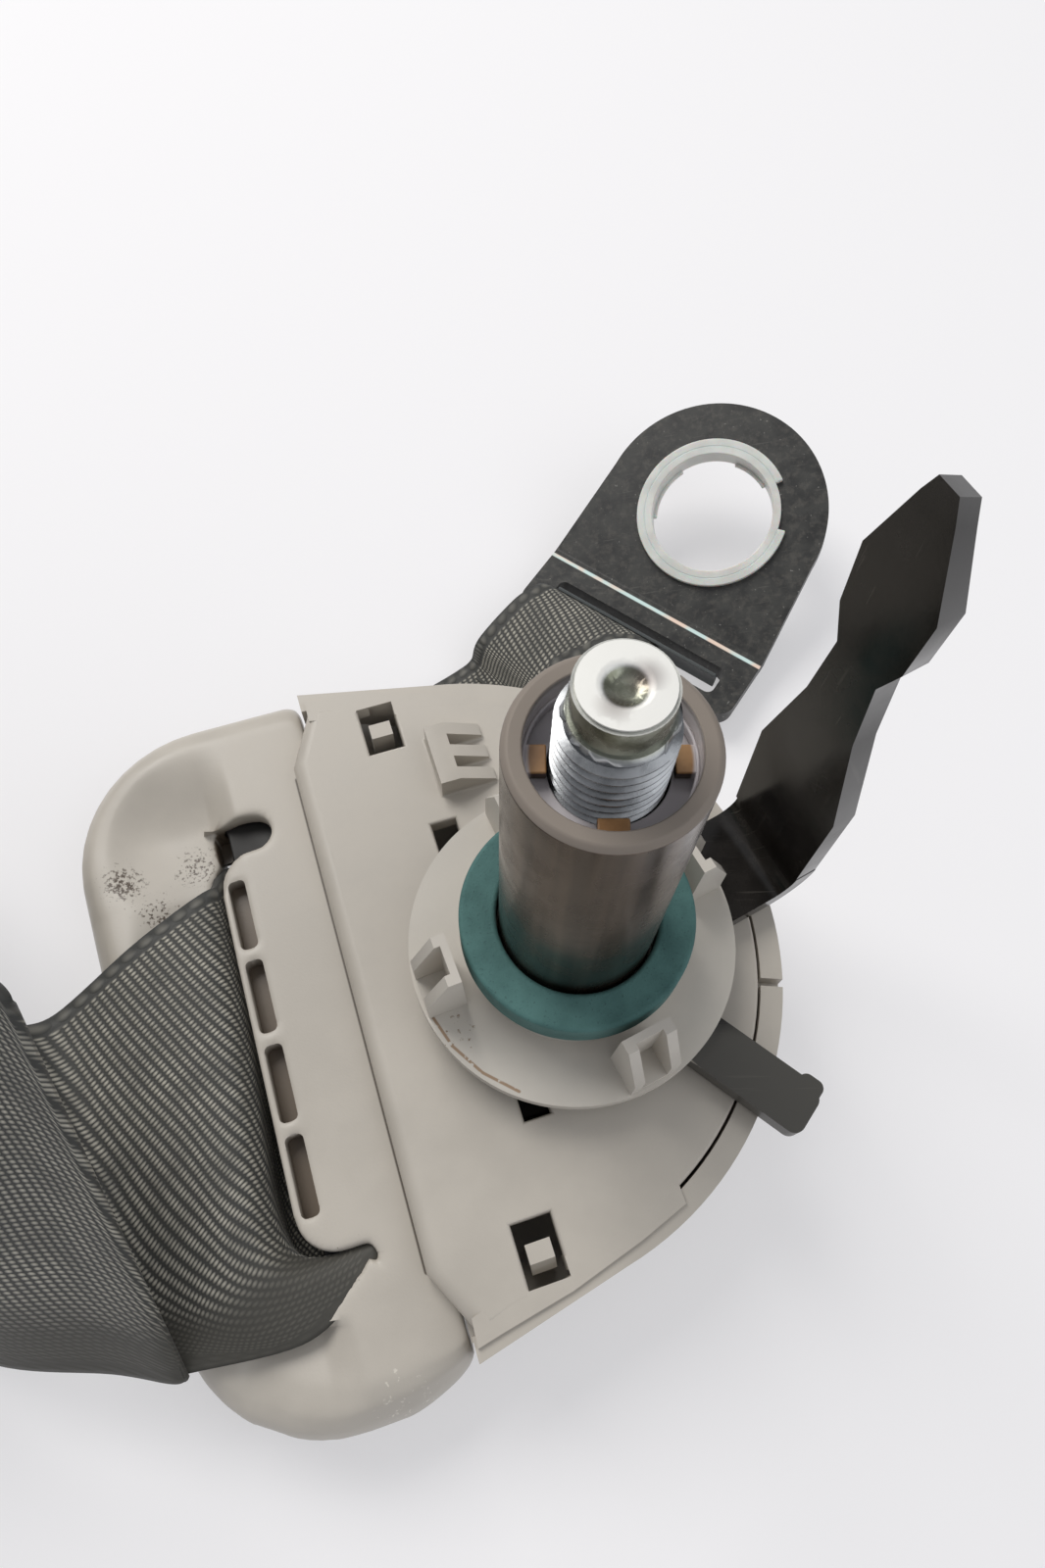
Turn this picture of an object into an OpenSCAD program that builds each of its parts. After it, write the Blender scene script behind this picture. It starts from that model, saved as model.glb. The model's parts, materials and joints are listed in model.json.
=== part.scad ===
// Shoulder belt guide with its swivel bolt, mounting sleeve and bracket,
// the webbing that runs through it, and the lap anchor plate on the webbing's end.
// The guide lies on its front cover. +Z is the bolt axis, and z = 0 is the sleeve's end face,
// which seats on the pillar.

/* [Webbing] */
// Width of the webbing
webbing_w = 48; // [44:0.5:50]
// Thickness of the webbing
webbing_t = 1.2; // [1:0.1:1.4]
// Outer radius of the rolled spare webbing
roll_r = 29.4; // [24:0.2:34]
// Radius of the roll's open core
roll_core_r = 6.5; // [5:0.1:9]

/* [Guide loop] */
// Turn of the loop and its covers round the bolt axis
loop_turn = 17.5; // [10:0.5:25]
// Reach of the loop from the bolt axis
loop_reach = 60; // [56:0.5:66]
// Loop material under the steel plate's middle
loop_below = 6.5; // [5.5:0.1:6.8]
// Loop material over the steel plate's middle
loop_above = 5; // [4:0.1:5]
// Width of the webbing slot
slot_w = 6.5; // [5.5:0.1:7.5]
// Width of the bar between the slot and the raised cover
bar_w = 13.4; // [12:0.1:15]
// Thickness of the steel plate
plate_t = 3.2; // [2.5:0.1:3.6]

/* [Covers] */
// Radius of the covers' round end
cover_r = 40.5; // [39:0.1:43]
// Half height of the covers at the loop
cover_half = 44; // [43:0.1:46]
// Wall of the front cover
cover_wall = 2.8; // [2.2:0.1:3]
// Thickness of the rear cover's plate
rear_t = 2.4; // [1.6:0.1:3]
// Radius of the front cover's dome
dome_r = 120; // [110:1:160]

/* [Bolt and sleeve] */
// Diameter of the bolt's thread
bolt_d = 10; // [9:0.1:11]
// Diameter of the bolt's plain pilot tip
pilot_d = 8; // [6:0.1:8.6]
// Length of the pilot tip
pilot_l = 3.6; // [2:0.1:5]
// How far the bolt's tip stands out of the sleeve
bolt_out = 9.6; // [7:0.1:18]
// Outer diameter of the spacer sleeve
sleeve_d = 18; // [17:0.1:19]
// Wall of the spacer sleeve
sleeve_wall = 1.8; // [1.5:0.1:2]
// Length of the spacer sleeve
sleeve_l = 69.2; // [64:0.1:74]
// Height of the sleeve's collar
collar_h = 6.8; // [6.5:0.1:8]

/* [Mounting pieces] */
// Radius of the clip ring's flange
ring_r = 20; // [19:0.1:22]
// Radius of the sealing washer
seal_r = 13.6; // [12.6:0.1:14]
// Thickness of the sealing washer
seal_t = 5; // [3:0.1:7]
// Thickness of the locating bracket
bracket_t = 3; // [2.5:0.1:3.5]
// Distance of the upright arm from the bolt axis
arm_reach = 28; // [27:0.1:32]
// Height of the upright arm's tip over the bracket
arm_h = 73.3; // [60:0.1:80]
// Length of the flat tab from the bolt axis
tab_reach = 34.5; // [30:0.1:38]

/* [Lap anchor] */
// Width of the anchor plate at its bend
anchor_w = 39.4; // [38:0.1:42]
// Thickness of the anchor plate
anchor_t = 3; // [2.5:0.1:3]
// Bend of the eye from the slotted end
anchor_bend = 25; // [15:0.5:35]
// Distance of the eye's centre from the bend
eye_reach = 17; // [16:0.1:20]
// Radius of the anchor plate round the eye
eye_r = 18.4; // [17:0.1:19]
// Radius of the bush's bore
bush_bore_r = 9.7; // [8:0.1:9.8]

/* [Hidden] */
$fn = 64;

// Clearances
seat_gap = 0.1;
rest_gap = 0.3;
run_gap = 0.06;
cut = 1;

// Heights along the bolt, from the table up to the sleeve's end at z = 0
flat_gap = 0.1;
cap_t = 1.9;
cap_r = 14;
cap_lip = 1.4;
cap_edge = 0.6;
head_gap = 0.4;
head_h = 3.8;
head_af = 17;
socket_af = 8;
socket_depth = 2.6;
flange_t = 1;
flange_r = 12.4;
wave_t = 0.6;
bush_flange_t = 0.7;
washer_t = 0.5;
cap_to_sleeve = cap_t + head_gap + head_h + flange_t + seat_gap;
cover_z = -sleeve_l - cap_to_sleeve;
table_z = cover_z - rest_gap - webbing_t - flat_gap;
head_z = cover_z + cap_t + head_gap;
flange_z = head_z + head_h;
flange_top = flange_z + flange_t;
wave_z = flange_top + seat_gap;
plate_z = wave_z + wave_t + seat_gap;
plate_top = plate_z + plate_t;
plate_mid = plate_z + plate_t / 2;
bush_flange_z = plate_top + seat_gap;
washer_z = bush_flange_z + bush_flange_t + seat_gap;
collar_z = washer_z + washer_t + seat_gap;
bracket_z = collar_z + collar_h + seat_gap;
ring_z = bracket_z + bracket_t + seat_gap;
ring_t = 1.9;
ring_top = ring_z + ring_t;
ring_boss_h = 5;
seal_z = ring_top + ring_boss_h + seat_gap;

// Sleeve, bolt and the pieces on them
sleeve_r = sleeve_d / 2;
sleeve_bore_r = sleeve_r - sleeve_wall;
sleeve_top = flange_top + seat_gap + sleeve_l;
sleeve_edge = 0.5;
collar_r = 12;
bolt_r = bolt_d / 2;
bolt_tip_z = sleeve_top + bolt_out;
pilot_r = pilot_d / 2;
pilot_edge = 0.6;
bolt_point = 0.8;
pilot_rim = 1.6;
dish_depth = 0.8;
shoulder_l = 12;
shoulder_r = sleeve_bore_r - run_gap;
pivot_bore_r = sleeve_r + run_gap;
pivot_wall = 2.1;
pivot_r = pivot_bore_r + pivot_wall;
pivot_flange_w = 2.2;
pivot_flange_r = pivot_r + pivot_flange_w;
retainer_t = 1.2;
retainer_in = 2.2;
retainer_wall = 0.5;
lug_count = 5;
lug_w = 2.6;
lug_gap = 0.35;
groove_depth = 0.45;
groove_play = 1.2;
groove_rise = 0.2;
groove_r = bolt_r - groove_depth;
groove_low = sleeve_top - retainer_in - retainer_t - groove_play;
groove_top = sleeve_top + groove_rise;

// Loop and cover outlines, in a frame turned by loop_turn round the bolt axis
loop_mid_y = 3.2;
step_x = -27.6;
bar_x = step_x - bar_w;
slot_x = bar_x - slot_w;
loop_z = plate_mid - loop_below;
loop_top = plate_mid + loop_above;
loop_right = -25;
loop_top_r = 19.5;
loop_low_r = 19;
loop_top_y = 50.5;
loop_low_y = -44;
loop_low_in = 2.5;
// Loop's cross-section: height over its underside, and how far the outline is drawn in there
loop_layers = [[0, 4], [2.2, 1], [5.5, 0], [8.1, 0.8], [10.6, 2.6], [11.5, 4.8]];
loop_layers_h = loop_layers[len(loop_layers) - 1][0];
layer_t = 0.1;
loop_tail_r = 2;
slot_top_y = 33;
slot_low_y = -34.5;
bar_top_y = 27.8;
bar_low_y = -24.8;
bar_corner = 5;
slot_corner_w = 4.3;
slot_corner_l = 8.5;
hook_top = [-35.2, 30.3];
hook_top_r = 2.5;
hook_low = [-33.2, -27.1];
hook_low_r = 2.3;
recess_w = 2;
recess_l = 9.6;
recess_pitch = 11.45;
recess_count = 4;
recess_mid_y = 1.9;
recess_wall = 1;
recess_depth = 2.4;
recess_round = 0.475;
steel_cover = 2;
steel_inset = 4.2;
steel_eye_r = 17;
steel_right = -25.2;
steel_r = (loop_reach - steel_inset + steel_right) / 2 - rest_gap;
neck_x = -18;
neck_half = 20;
cover_x = -13;
cover_left = -24.5;
loop_notch = 7;
cover_bite = 0.9995;
rim_notch_turn = -22;
rim_notch = 1;
rim_notch_depth = 1.6;
dome_bands = 8;
rear_gap = 0.4;
bracket_gap = 1;
rear_top = bracket_z - bracket_gap;
rear_z = rear_top - rear_t;
rear_half = 33.5;
rear_corner_x = -24;
rear_skirt_t = 1.6;
rear_skirt_h = 4;
rear_hole_gap = 1.5;
rear_hole_r = collar_r + rear_hole_gap;
rim_drop = 1.4;
rim_top = rear_top - rim_drop;
window_x = -14.6;
window_y = 35.2;
window_w = 4.9;
window_l = 7.2;
peep_x = -10.2;
peep_y = 18.9;
peep_w = 3.4;
peep_l = 4.6;
hook_w = 3;
hook_t = 2.2;
hook_barb = 1.2;
hook_barb_low = 2.8;
hook_barb_high = 2.4;
hook_drop = 0.6;
comb_x = -9.2;
comb_y = 25.8;
comb_l = 10.7;
comb_reach = 7.6;
comb_h = 4;
comb_back = 1.6;
comb_tooth = 2.2;
comb_count = 3;
comb_tip_h = 0.8;

// Clip ring
boss_step = 1;
ring_boss_r = seal_r - boss_step;
clip_count = 4;
clip_turn = 30;
clip_w = 6;
clip_l = 4.8;
clip_h = 11;
clip_wall = 1.3;
clip_edge = 0.5;
clip_lip = 0.45;
clip_top = 2;
clip_draft = 0.4;

// Locating bracket
arm_turn = 29;
tab_turn = -37;
tab_w = 6.5;
tab_lip = 1.4;
tab_nose = 5.6;
tab_step = 0.6;
tab_ear = 3.4;
tab_ear_r = 1;
bracket_r = 16;
bend_r = 3;
arm_base_w = 13;
arm_waist_w = 6;
arm_head_w = 10;
arm_tip_w = 2.4;
arm_lean = 1;
arm_swell = 0.4;
arm_round = 0.9;
arm_point = 2.4;
arm_shoulder_low = 23;
arm_shoulder_high = 29;
arm_waist_low = 37;
arm_waist_high = 46.5;
arm_head_low = 51;
arm_head_high = 59;

// Lap anchor: its own frame has the bend line along x and the eye towards +y
anchor_at = [17, 62.5];
anchor_turn = -34.2;
bar_mid_y = -10.5;
anchor_bar = 4;
anchor_slot = 4;
anchor_slot_l = 31;
anchor_slot_r = 1.2;
anchor_corner = 3;
anchor_fold = 0.8;
fold_proud = 0.02;
fold_past = 1;
anchor_lift = 2.9;
anchor_z = table_z + anchor_lift;
anchor_top = anchor_z + anchor_t;
anchor_mid = anchor_z + anchor_t / 2;
bush_wall = 1.3;
bush_lip = 1.2;
eye_hole_r = bush_bore_r + bush_wall;
bush_flange_r = eye_hole_r + bush_lip;
bush_flange = 0.9;
bush_notch = 50;
bush_notch_turn = -10;

// Webbing loop on the anchor's bar, and the guard on the loop
loop_turns = [90, 60, 30, 0, -30, -60, -90];
bar_swing = norm([anchor_bar, anchor_t]) / 2;
loop_in_r = bar_swing + rest_gap + seat_gap;
loop_r = loop_in_r + webbing_t / 2;
guard_t = 0.5;
guard_r = loop_in_r + webbing_t + seat_gap;
guard_low = -20;
guard_in = 0.2;
guard_leaf = 3;

// Stitching of the webbing's lap
stitch_rows = 3;
stitch_pitch = 2.4;
stitch_start = 0.8;
stitch_in = 4;
thread_w = 0.6;
thread_t = 0.4;

// The webbing's two edges, station by station: far edge, near edge. Round points chosen by
// hand for a strap 48 mm wide, which the function below fits to the set width.
webbing_drawn_w = 48;
flat_z = table_z + flat_gap + webbing_t / 2;
lap_gap = 0.15;
lap_z = flat_z + webbing_t + lap_gap;
gather_share = 0.31;
gather = gather_share * webbing_w;
function on_anchor(x, y, z) =
    [anchor_at[0] + x * cos(anchor_turn) - y * sin(anchor_turn),
     anchor_at[1] + x * sin(anchor_turn) + y * cos(anchor_turn), z];
function round_bar(side, turn) =
    on_anchor(side * gather, bar_mid_y + loop_r * cos(turn), anchor_mid + loop_r * sin(turn));
lap_end = [[-19.6, 49.1, lap_z], [13, 18, lap_z]];
lap_low = [[-19.6, 49.1, flat_z], [13, 18, flat_z]];
function off_bar(side) = on_anchor(side * gather, bar_mid_y - guard_leaf, anchor_mid + loop_r - 0.4);
function under_bar(side) = on_anchor(side * gather, bar_mid_y - guard_leaf, (anchor_mid - loop_r + flat_z) / 2);
anchor_run = concat(
    [lap_end, [[-15.5, 52.4, lap_z], [15.6, 24.6, lap_z]], [[-11, 56, lap_z + 1.2], [18.5, 32, lap_z + 1.2]]],
    [[off_bar(-1), off_bar(1)]],
    [for (turn = loop_turns) [round_bar(-1, turn), round_bar(1, turn)]],
    [[under_bar(-1), under_bar(1)]],
    [[[-11, 56, flat_z], [18.5, 32, flat_z]], lap_low]);
function on_loop(x, y, z) =
    [x * cos(loop_turn) - y * sin(loop_turn), x * sin(loop_turn) + y * cos(loop_turn), z];
slot_mid = (bar_x + slot_x) / 2;
over_loop = loop_top + rest_gap + webbing_t / 2;
slot_run = [
    [on_loop(slot_mid + 14, 36, flat_z), on_loop(slot_mid + 18, -24, flat_z)],
    [on_loop(slot_mid + 5, 30.5, flat_z + 0.9), on_loop(slot_mid + 5, -29.5, flat_z + 0.9)],
    [on_loop(slot_mid + 0.8, 28.6, loop_z), on_loop(slot_mid + 0.6, -31, loop_z)],
    [on_loop(slot_mid, 27.8, plate_mid), on_loop(slot_mid, -31.5, plate_mid)],
    [on_loop(slot_mid - 0.4, 26.8, loop_top - 1.6), on_loop(slot_mid - 0.4, -32, loop_top - 1.6)],
    [on_loop(slot_mid - 2, 25.6, over_loop), on_loop(slot_mid - 2, -32.4, over_loop - 0.2)],
    [on_loop(slot_mid - 5.5, 23.4, over_loop + 0.7), on_loop(slot_mid - 5.5, -32.8, over_loop + 0.5)],
    [on_loop(slot_mid - 10, 20.6, over_loop + 0.4), on_loop(slot_mid - 8.5, -33, over_loop + 0.4)]];
fold_points = [
    [[-65.5, -6, 15.5], [-43.5, -47, 15.5]],
    [[-68.5, -9.5, 20], [-45, -47.2, 14.9]],
    [[-67.5, -12, 28.5], [-44.9, -47.3, 15.4]],
    [[-62.8, -14, 38], [-44.5, -47.4, 15.9]],
    [[-57.8, -15, 45.5], [-44.1, -47.45, 16.3]],
    [[-55.6, -14, 50], [-43.9, -47.5, 16.6]],
    [[-57.2, -11.8, 52], [-45.3, -47.5, 16.8]],
    [[-61.5, -10.6, 52.5], [-52, -46.6, 15.3]],
    [[-68, -12.5, 51.5], [-65, -46, 12]],
    [[-77, -17, 50], [-78, -43, 6.5]],
    [[-89, -22, 49], [-92, -37, 2.6]]];
fold_run = [for (edges = fold_points) [for (point = edges) point + [0, 0, table_z]]];
roll_at = [-118, 4];
roll_lay_r = roll_r + webbing_t / 2 + seat_gap;
roll_lift = 0.5;
roll_z = table_z + roll_lift;
tie_w = 9;
tie_t = 0.35;
tie_turn = 100;
roll_run = [
    [[-103, roll_at[1] - roll_lay_r + 0.6, roll_z + webbing_w], [-108, roll_at[1] - roll_lay_r - 2.6, roll_z]],
    [[roll_at[0], roll_at[1] - roll_lay_r, roll_z + webbing_w], [roll_at[0], roll_at[1] - roll_lay_r, roll_z]]];
webbing_run = concat(anchor_run, slot_run, fold_run, roll_run);

// Smooth curve through a list of points
webbing_steps = 3;
function bend_point(a, b, c, d, t) = 0.5 * (2 * b + (c - a) * t + (2 * a - 5 * b + 4 * c - d) * t * t
    + (3 * b - a - 3 * c + d) * t * t * t);
function smooth_line(points, steps) = let (last = len(points) - 1) concat(
    [for (i = [0 : last - 1], k = [0 : steps - 1])
        bend_point(points[max(i - 1, 0)], points[i], points[i + 1], points[min(i + 2, last)], k / steps)],
    [points[last]]);
function unit(v) = v / norm(v);

// A strap along two edge lines, as one closed sheet of even thickness
module strap(stations, thick) {
    far = smooth_line([for (s = stations) s[0]], webbing_steps);
    near = smooth_line([for (s = stations) s[1]], webbing_steps);
    last = len(far) - 1;
    middle = [for (i = [0 : last]) (far[i] + near[i]) / 2];
    side = [for (i = [0 : last])
        unit(cross(middle[min(i + 1, last)] - middle[max(i - 1, 0)], near[i] - far[i])) * thick / 2];
    ring_points = [for (i = [0 : last]) each
        [far[i] + side[i], near[i] + side[i], near[i] - side[i], far[i] - side[i]]];
    // Both faces are split along the same diagonal, so that they stay parallel where the strap twists
    sides = [for (i = [0 : last - 1], k = [0 : 3]) let (a = 4 * i + k, b = 4 * i + (k + 1) % 4)
        each k == 2 ? [[a, b, a + 4], [b, b + 4, a + 4]] : [[a, b, b + 4], [a, b + 4, a + 4]]];
    ends = [[2, 1, 0], [3, 2, 0], [4 * last, 4 * last + 1, 4 * last + 2],
        [4 * last, 4 * last + 2, 4 * last + 3]];
    polyhedron(ring_points, concat(sides, ends));
}

// Rectangle with round corners, between two corners
module round_rect(low, high, r) {
    translate([low[0] + r, low[1]]) square([high[0] - low[0] - 2 * r, high[1] - low[1]]);
    translate([low[0], low[1] + r]) square([high[0] - low[0], high[1] - low[1] - 2 * r]);
    for (x = [low[0] + r, high[0] - r], y = [low[1] + r, high[1] - r]) translate([x, y]) circle(r);
}

module ring(outer, inner, h) {
    difference() {
        cylinder(r = outer, h = h);
        translate([0, 0, -cut]) cylinder(r = inner, h = h + 2 * cut);
    }
}

// The webbing slot hooks round both ends of the bar
module slot_2d() {
    difference() {
        translate([slot_x, slot_low_y]) square([slot_w, slot_top_y - slot_low_y]);
        polygon([[slot_x, slot_top_y - slot_corner_l], [slot_x + slot_corner_w, slot_top_y],
            [slot_x + slot_corner_w, slot_top_y + cut], [slot_x - cut, slot_top_y + cut],
            [slot_x - cut, slot_top_y - slot_corner_l]]);
    }
    translate([bar_x - cut, bar_top_y]) square([hook_top[0] - bar_x + cut, slot_top_y - bar_top_y]);
    translate(hook_top) circle(hook_top_r);
    translate([bar_x - cut, hook_low[1] - hook_low_r])
        square([hook_low[0] - bar_x + cut, bar_low_y - hook_low[1] + hook_low_r]);
    translate(hook_low) circle(hook_low_r);
    for (corner = [[bar_top_y, -1], [bar_low_y, 1]])
        difference() {
            translate([bar_x - cut, corner[0] - (corner[1] < 0 ? bar_corner : 0)])
                square([bar_corner + cut, bar_corner]);
            translate([bar_x + bar_corner, corner[0] + corner[1] * bar_corner]) circle(bar_corner);
        }
    polygon([[bar_x, hook_low[1]], [bar_x, slot_low_y], [hook_low[0], hook_low[1] - hook_low_r]]);
}

module plate_2d() {
    loop_left = steel_inset - loop_reach;
    difference() {
        union() {
            round_rect([loop_left, loop_low_y + steel_inset], [steel_right, loop_top_y - steel_inset], steel_r);
            polygon([[steel_right - steel_r, loop_low_y + steel_inset], [neck_x, loop_mid_y - neck_half],
                [0, -steel_eye_r], [0, steel_eye_r], [neck_x, loop_mid_y + neck_half],
                [steel_right - steel_r, loop_top_y - steel_inset]]);
            circle(steel_eye_r);
        }
        round_rect([slot_x - steel_cover, slot_low_y - steel_cover], [bar_x + steel_cover, slot_top_y + steel_cover],
            slot_w / 2);
        circle(pivot_r);
    }
}

module guide_loop() {
    color("#beb7ac") rotate(loop_turn) difference() {
        hull() {
            for (layer = loop_layers)
                translate([0, 0, loop_z + layer[0] * (loop_top - loop_z - layer_t) / loop_layers_h]) {
                    translate([loop_top_r - loop_reach, loop_top_y - loop_top_r])
                        cylinder(r = loop_top_r - layer[1], h = layer_t, $fn = 40);
                    translate([loop_low_r + loop_low_in - loop_reach, loop_low_y + loop_low_r])
                        cylinder(r = loop_low_r - layer[1], h = layer_t, $fn = 40);
                    for (y = [loop_top_y - layer[1] - loop_tail_r, loop_low_y + layer[1] + loop_tail_r])
                        translate([loop_right - loop_tail_r, y]) cylinder(r = loop_tail_r, h = layer_t, $fn = 16);
                }
        }
        translate([loop_right, -2 * loop_reach, loop_z - cut]) cube(4 * loop_reach);
        translate([0, 0, loop_z - cut]) linear_extrude(loop_top - loop_z + 2 * cut) slot_2d();
        translate([0, 0, plate_z]) linear_extrude(plate_t) plate_2d();
        for (i = [0 : recess_count - 1])
            translate([bar_x + recess_wall,
                    recess_mid_y + (i - (recess_count - 1) / 2) * recess_pitch - recess_l / 2, loop_top - recess_depth])
                linear_extrude(recess_depth + cut) round_rect([0, 0], [recess_w, recess_l], recess_w * recess_round);
    }
}

module loop_plate() {
    color("#7f8387") rotate(loop_turn) translate([0, 0, plate_z]) linear_extrude(plate_t) plate_2d();
}

// Covers' outline: a round end with tangents that open towards the loop
module cover_2d(inset, end = undef) {
    r = cover_r - inset;
    left = cover_left - cover_x + (is_undef(end) ? inset : end);
    half = cover_half - inset;
    turn = atan2(half, left) - acos(r / norm([left, half]));
    translate([cover_x, loop_mid_y]) {
        intersection() {
            circle(r, $fn = 120);
            translate([left, -2 * r]) square(4 * r);
        }
        polygon([[left, -half], cover_bite * r * [cos(turn), -sin(turn)], cover_bite * r * [cos(turn), sin(turn)],
            [left, half]]);
    }
}

module comb() {
    tooth_pitch = (comb_l - comb_tooth) / (comb_count - 1);
    translate([comb_x, comb_y, rear_top - seat_gap]) {
        cube([comb_back, comb_l, comb_h]);
        for (i = [0 : comb_count - 1])
            translate([0, comb_tooth + i * tooth_pitch, 0]) rotate([90, 0, 0]) linear_extrude(comb_tooth)
                polygon([[0, 0], [comb_reach, 0], [comb_reach, comb_tip_h], [comb_back, comb_h], [0, comb_h]]);
    }
}

module rear_cover() {
    inset = cover_wall + rear_gap;
    color("#beb7ac") rotate(loop_turn) {
        difference() {
            union() {
                translate([0, 0, rear_z]) linear_extrude(rear_t) {
                    cover_2d(inset, rear_gap);
                    rear_wing_2d(inset);
                }
                translate([0, 0, loop_top + seat_gap]) linear_extrude(rear_top - loop_top - seat_gap) difference() {
                    rear_wing_2d(inset);
                    translate([cover_left - rear_gap, loop_mid_y - cover_half]) square(2 * cover_half);
                }
                translate([0, 0, rear_z - rear_skirt_h]) linear_extrude(rear_skirt_h + rear_t / 2) intersection() {
                    difference() {
                        cover_2d(inset, rear_gap);
                        cover_2d(inset + rear_skirt_t, rear_gap);
                    }
                    translate([neck_x + inset, loop_mid_y - 2 * cover_r]) square(4 * cover_r);
                }
                comb();
            }
            for (side = [-1, 1]) {
                translate([window_x, loop_mid_y + side * window_y, rear_z]) {
                    cube([window_w, window_l, 4 * rear_t], center = true);
                }
                translate([peep_x, loop_mid_y + side * peep_y, rear_z])
                    cube([peep_w, peep_l, 4 * rear_t], center = true);
            }
            translate([0, 0, rear_z - rear_skirt_h]) cylinder(r = rear_hole_r, h = 4 * rear_skirt_h);
        }
    }
}

// Part of the rear cover that steps up from the loop
module rear_wing_2d(inset) {
    corner = cover_half - inset - seat_gap;
    polygon([[window_x, loop_mid_y - rear_half], [rear_corner_x, loop_mid_y - corner],
        [step_x, loop_mid_y - rear_half], [step_x, loop_mid_y + rear_half],
        [rear_corner_x, loop_mid_y + corner], [window_x, loop_mid_y + rear_half]]);
}

// Snap hook that stands on the dome's inside under one of the rear cover's windows
module cover_hook(at) {
    top = rear_top - hook_drop;
    low = dome_height(at, cover_wall) - cover_wall / 2;
    translate([-hook_w / 2, -hook_t / 2, low]) cube([hook_w, hook_t, top - low]);
    translate([hook_w / 2, hook_t / 2 - seat_gap, top]) rotate([0, -90, 0]) linear_extrude(hook_w)
        polygon([[0, 0], [-hook_barb_high, hook_barb], [-hook_barb_low, hook_barb], [-hook_barb_low, 0]]);
}

// Height of the domed face, or of its inside, at a distance from the bolt axis
function dome_height(r, inset) = cover_z + dome_r - sqrt(pow(dome_r - inset, 2) - r * r);

// Solid over the front cover's domed face, pulled in by a wall
module dome(inset, top) {
    edge_r = cover_r + norm([cover_x, loop_mid_y]) + cover_wall;
    intersection() {
        translate([0, 0, cover_z]) linear_extrude(top - cover_z) cover_2d(inset);
        rotate_extrude($fn = 120) polygon(concat(
            [for (i = [0 : dome_bands]) [edge_r * i / dome_bands, dome_height(edge_r * i / dome_bands, inset)]],
            [[edge_r, top + cover_r], [0, top + cover_r]]));
    }
}

module front_cover() {
    color("#bcb5aa") rotate(loop_turn) {
        difference() {
            dome(0, rim_top);
            dome(cover_wall, rim_top + cut);
            translate([cover_left - cut, loop_mid_y - cover_half + cover_wall, plate_z - seat_gap])
                cube([loop_notch + cut, 2 * (cover_half - cover_wall), cover_r]);
            translate([0, 0, cover_z - cut]) cylinder(r = cap_r + seat_gap, h = cover_r);
            translate([cover_x, loop_mid_y, rim_top - rim_notch_depth]) rotate(rim_notch_turn)
                translate([cover_r - 2 * cover_wall, -rim_notch / 2, 0]) cube([3 * cover_wall, rim_notch, cover_r]);
        }
        for (side = [-1, 1]) translate([window_x, loop_mid_y + side * window_y, 0])
            rotate(side < 0 ? 180 : 0) cover_hook(norm([window_x, loop_mid_y + side * window_y]));
    }
}

module bolt_cap() {
    color("#b8b1a6") translate([0, 0, cover_z]) difference() {
        union() {
            cylinder(r = cap_r, h = cap_t);
            translate([0, 0, cap_t - seat_gap]) ring(cap_r, cap_r - cap_lip, cover_wall);
        }
        translate([0, 0, -cut]) ring(cap_r + cut, cap_r - cap_edge, cut + cap_t / 4);
    }
}

module pivot_bush() {
    color("#e6e3da") {
        translate([0, 0, plate_z]) ring(pivot_r, pivot_bore_r, bush_flange_z + bush_flange_t - plate_z);
        translate([0, 0, bush_flange_z]) ring(pivot_flange_r, pivot_bore_r, bush_flange_t);
    }
}

module friction_washer() {
    color("#d9d4c4") translate([0, 0, washer_z]) ring(collar_r + cap_edge, sleeve_r + rest_gap, washer_t);
}

module wave_washer() {
    color("#8a8d90") translate([0, 0, wave_z]) ring(flange_r - rest_gap, sleeve_r + rest_gap, wave_t);
}

module anchor_bolt() {
    thread_top = bolt_tip_z - pilot_l;
    color("#c9ccca") difference() {
        union() {
            translate([0, 0, head_z]) cylinder(d = head_af / cos(30), h = head_h + seat_gap, $fn = 6);
            translate([0, 0, flange_z]) cylinder(r = flange_r, h = flange_t);
            cylinder_up(flange_top, shoulder_r, shoulder_l);
            cylinder_up(flange_top + shoulder_l, bolt_r, thread_top - bolt_point - flange_top - shoulder_l);
            translate([0, 0, thread_top - bolt_point]) cylinder(r1 = bolt_r, r2 = bolt_r - bolt_point, h = bolt_point);
            cylinder_up(thread_top, pilot_r, pilot_l - pilot_edge);
            translate([0, 0, bolt_tip_z - pilot_edge]) cylinder(r1 = pilot_r, r2 = pilot_r - pilot_edge, h = pilot_edge);
        }
        translate([0, 0, head_z - cut]) cylinder(d = socket_af / cos(30), h = socket_depth + cut, $fn = 6);
        translate([0, 0, groove_low]) ring(bolt_r + cut, groove_r, groove_top - groove_low);
        translate([0, 0, bolt_tip_z - dish_depth])
            cylinder(r1 = pilot_r - 2 * pilot_rim, r2 = pilot_r - pilot_rim, h = dish_depth + seat_gap);
    }
}

// A cylinder that overlaps what is under it
module cylinder_up(z, r, h) {
    translate([0, 0, z - seat_gap]) cylinder(r = r, h = h + seat_gap);
}

module spacer_sleeve() {
    color("#4a4038") difference() {
        union() {
            translate([0, 0, flange_top + seat_gap]) cylinder(r = sleeve_r, h = sleeve_l - sleeve_edge);
            translate([0, 0, sleeve_top - sleeve_edge])
                cylinder(r1 = sleeve_r, r2 = sleeve_r - sleeve_edge, h = sleeve_edge);
            translate([0, 0, collar_z]) cylinder(r = collar_r, h = collar_h);
        }
        translate([0, 0, flange_top - cut]) cylinder(r = sleeve_bore_r, h = sleeve_l + 3 * cut);
    }
}

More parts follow.
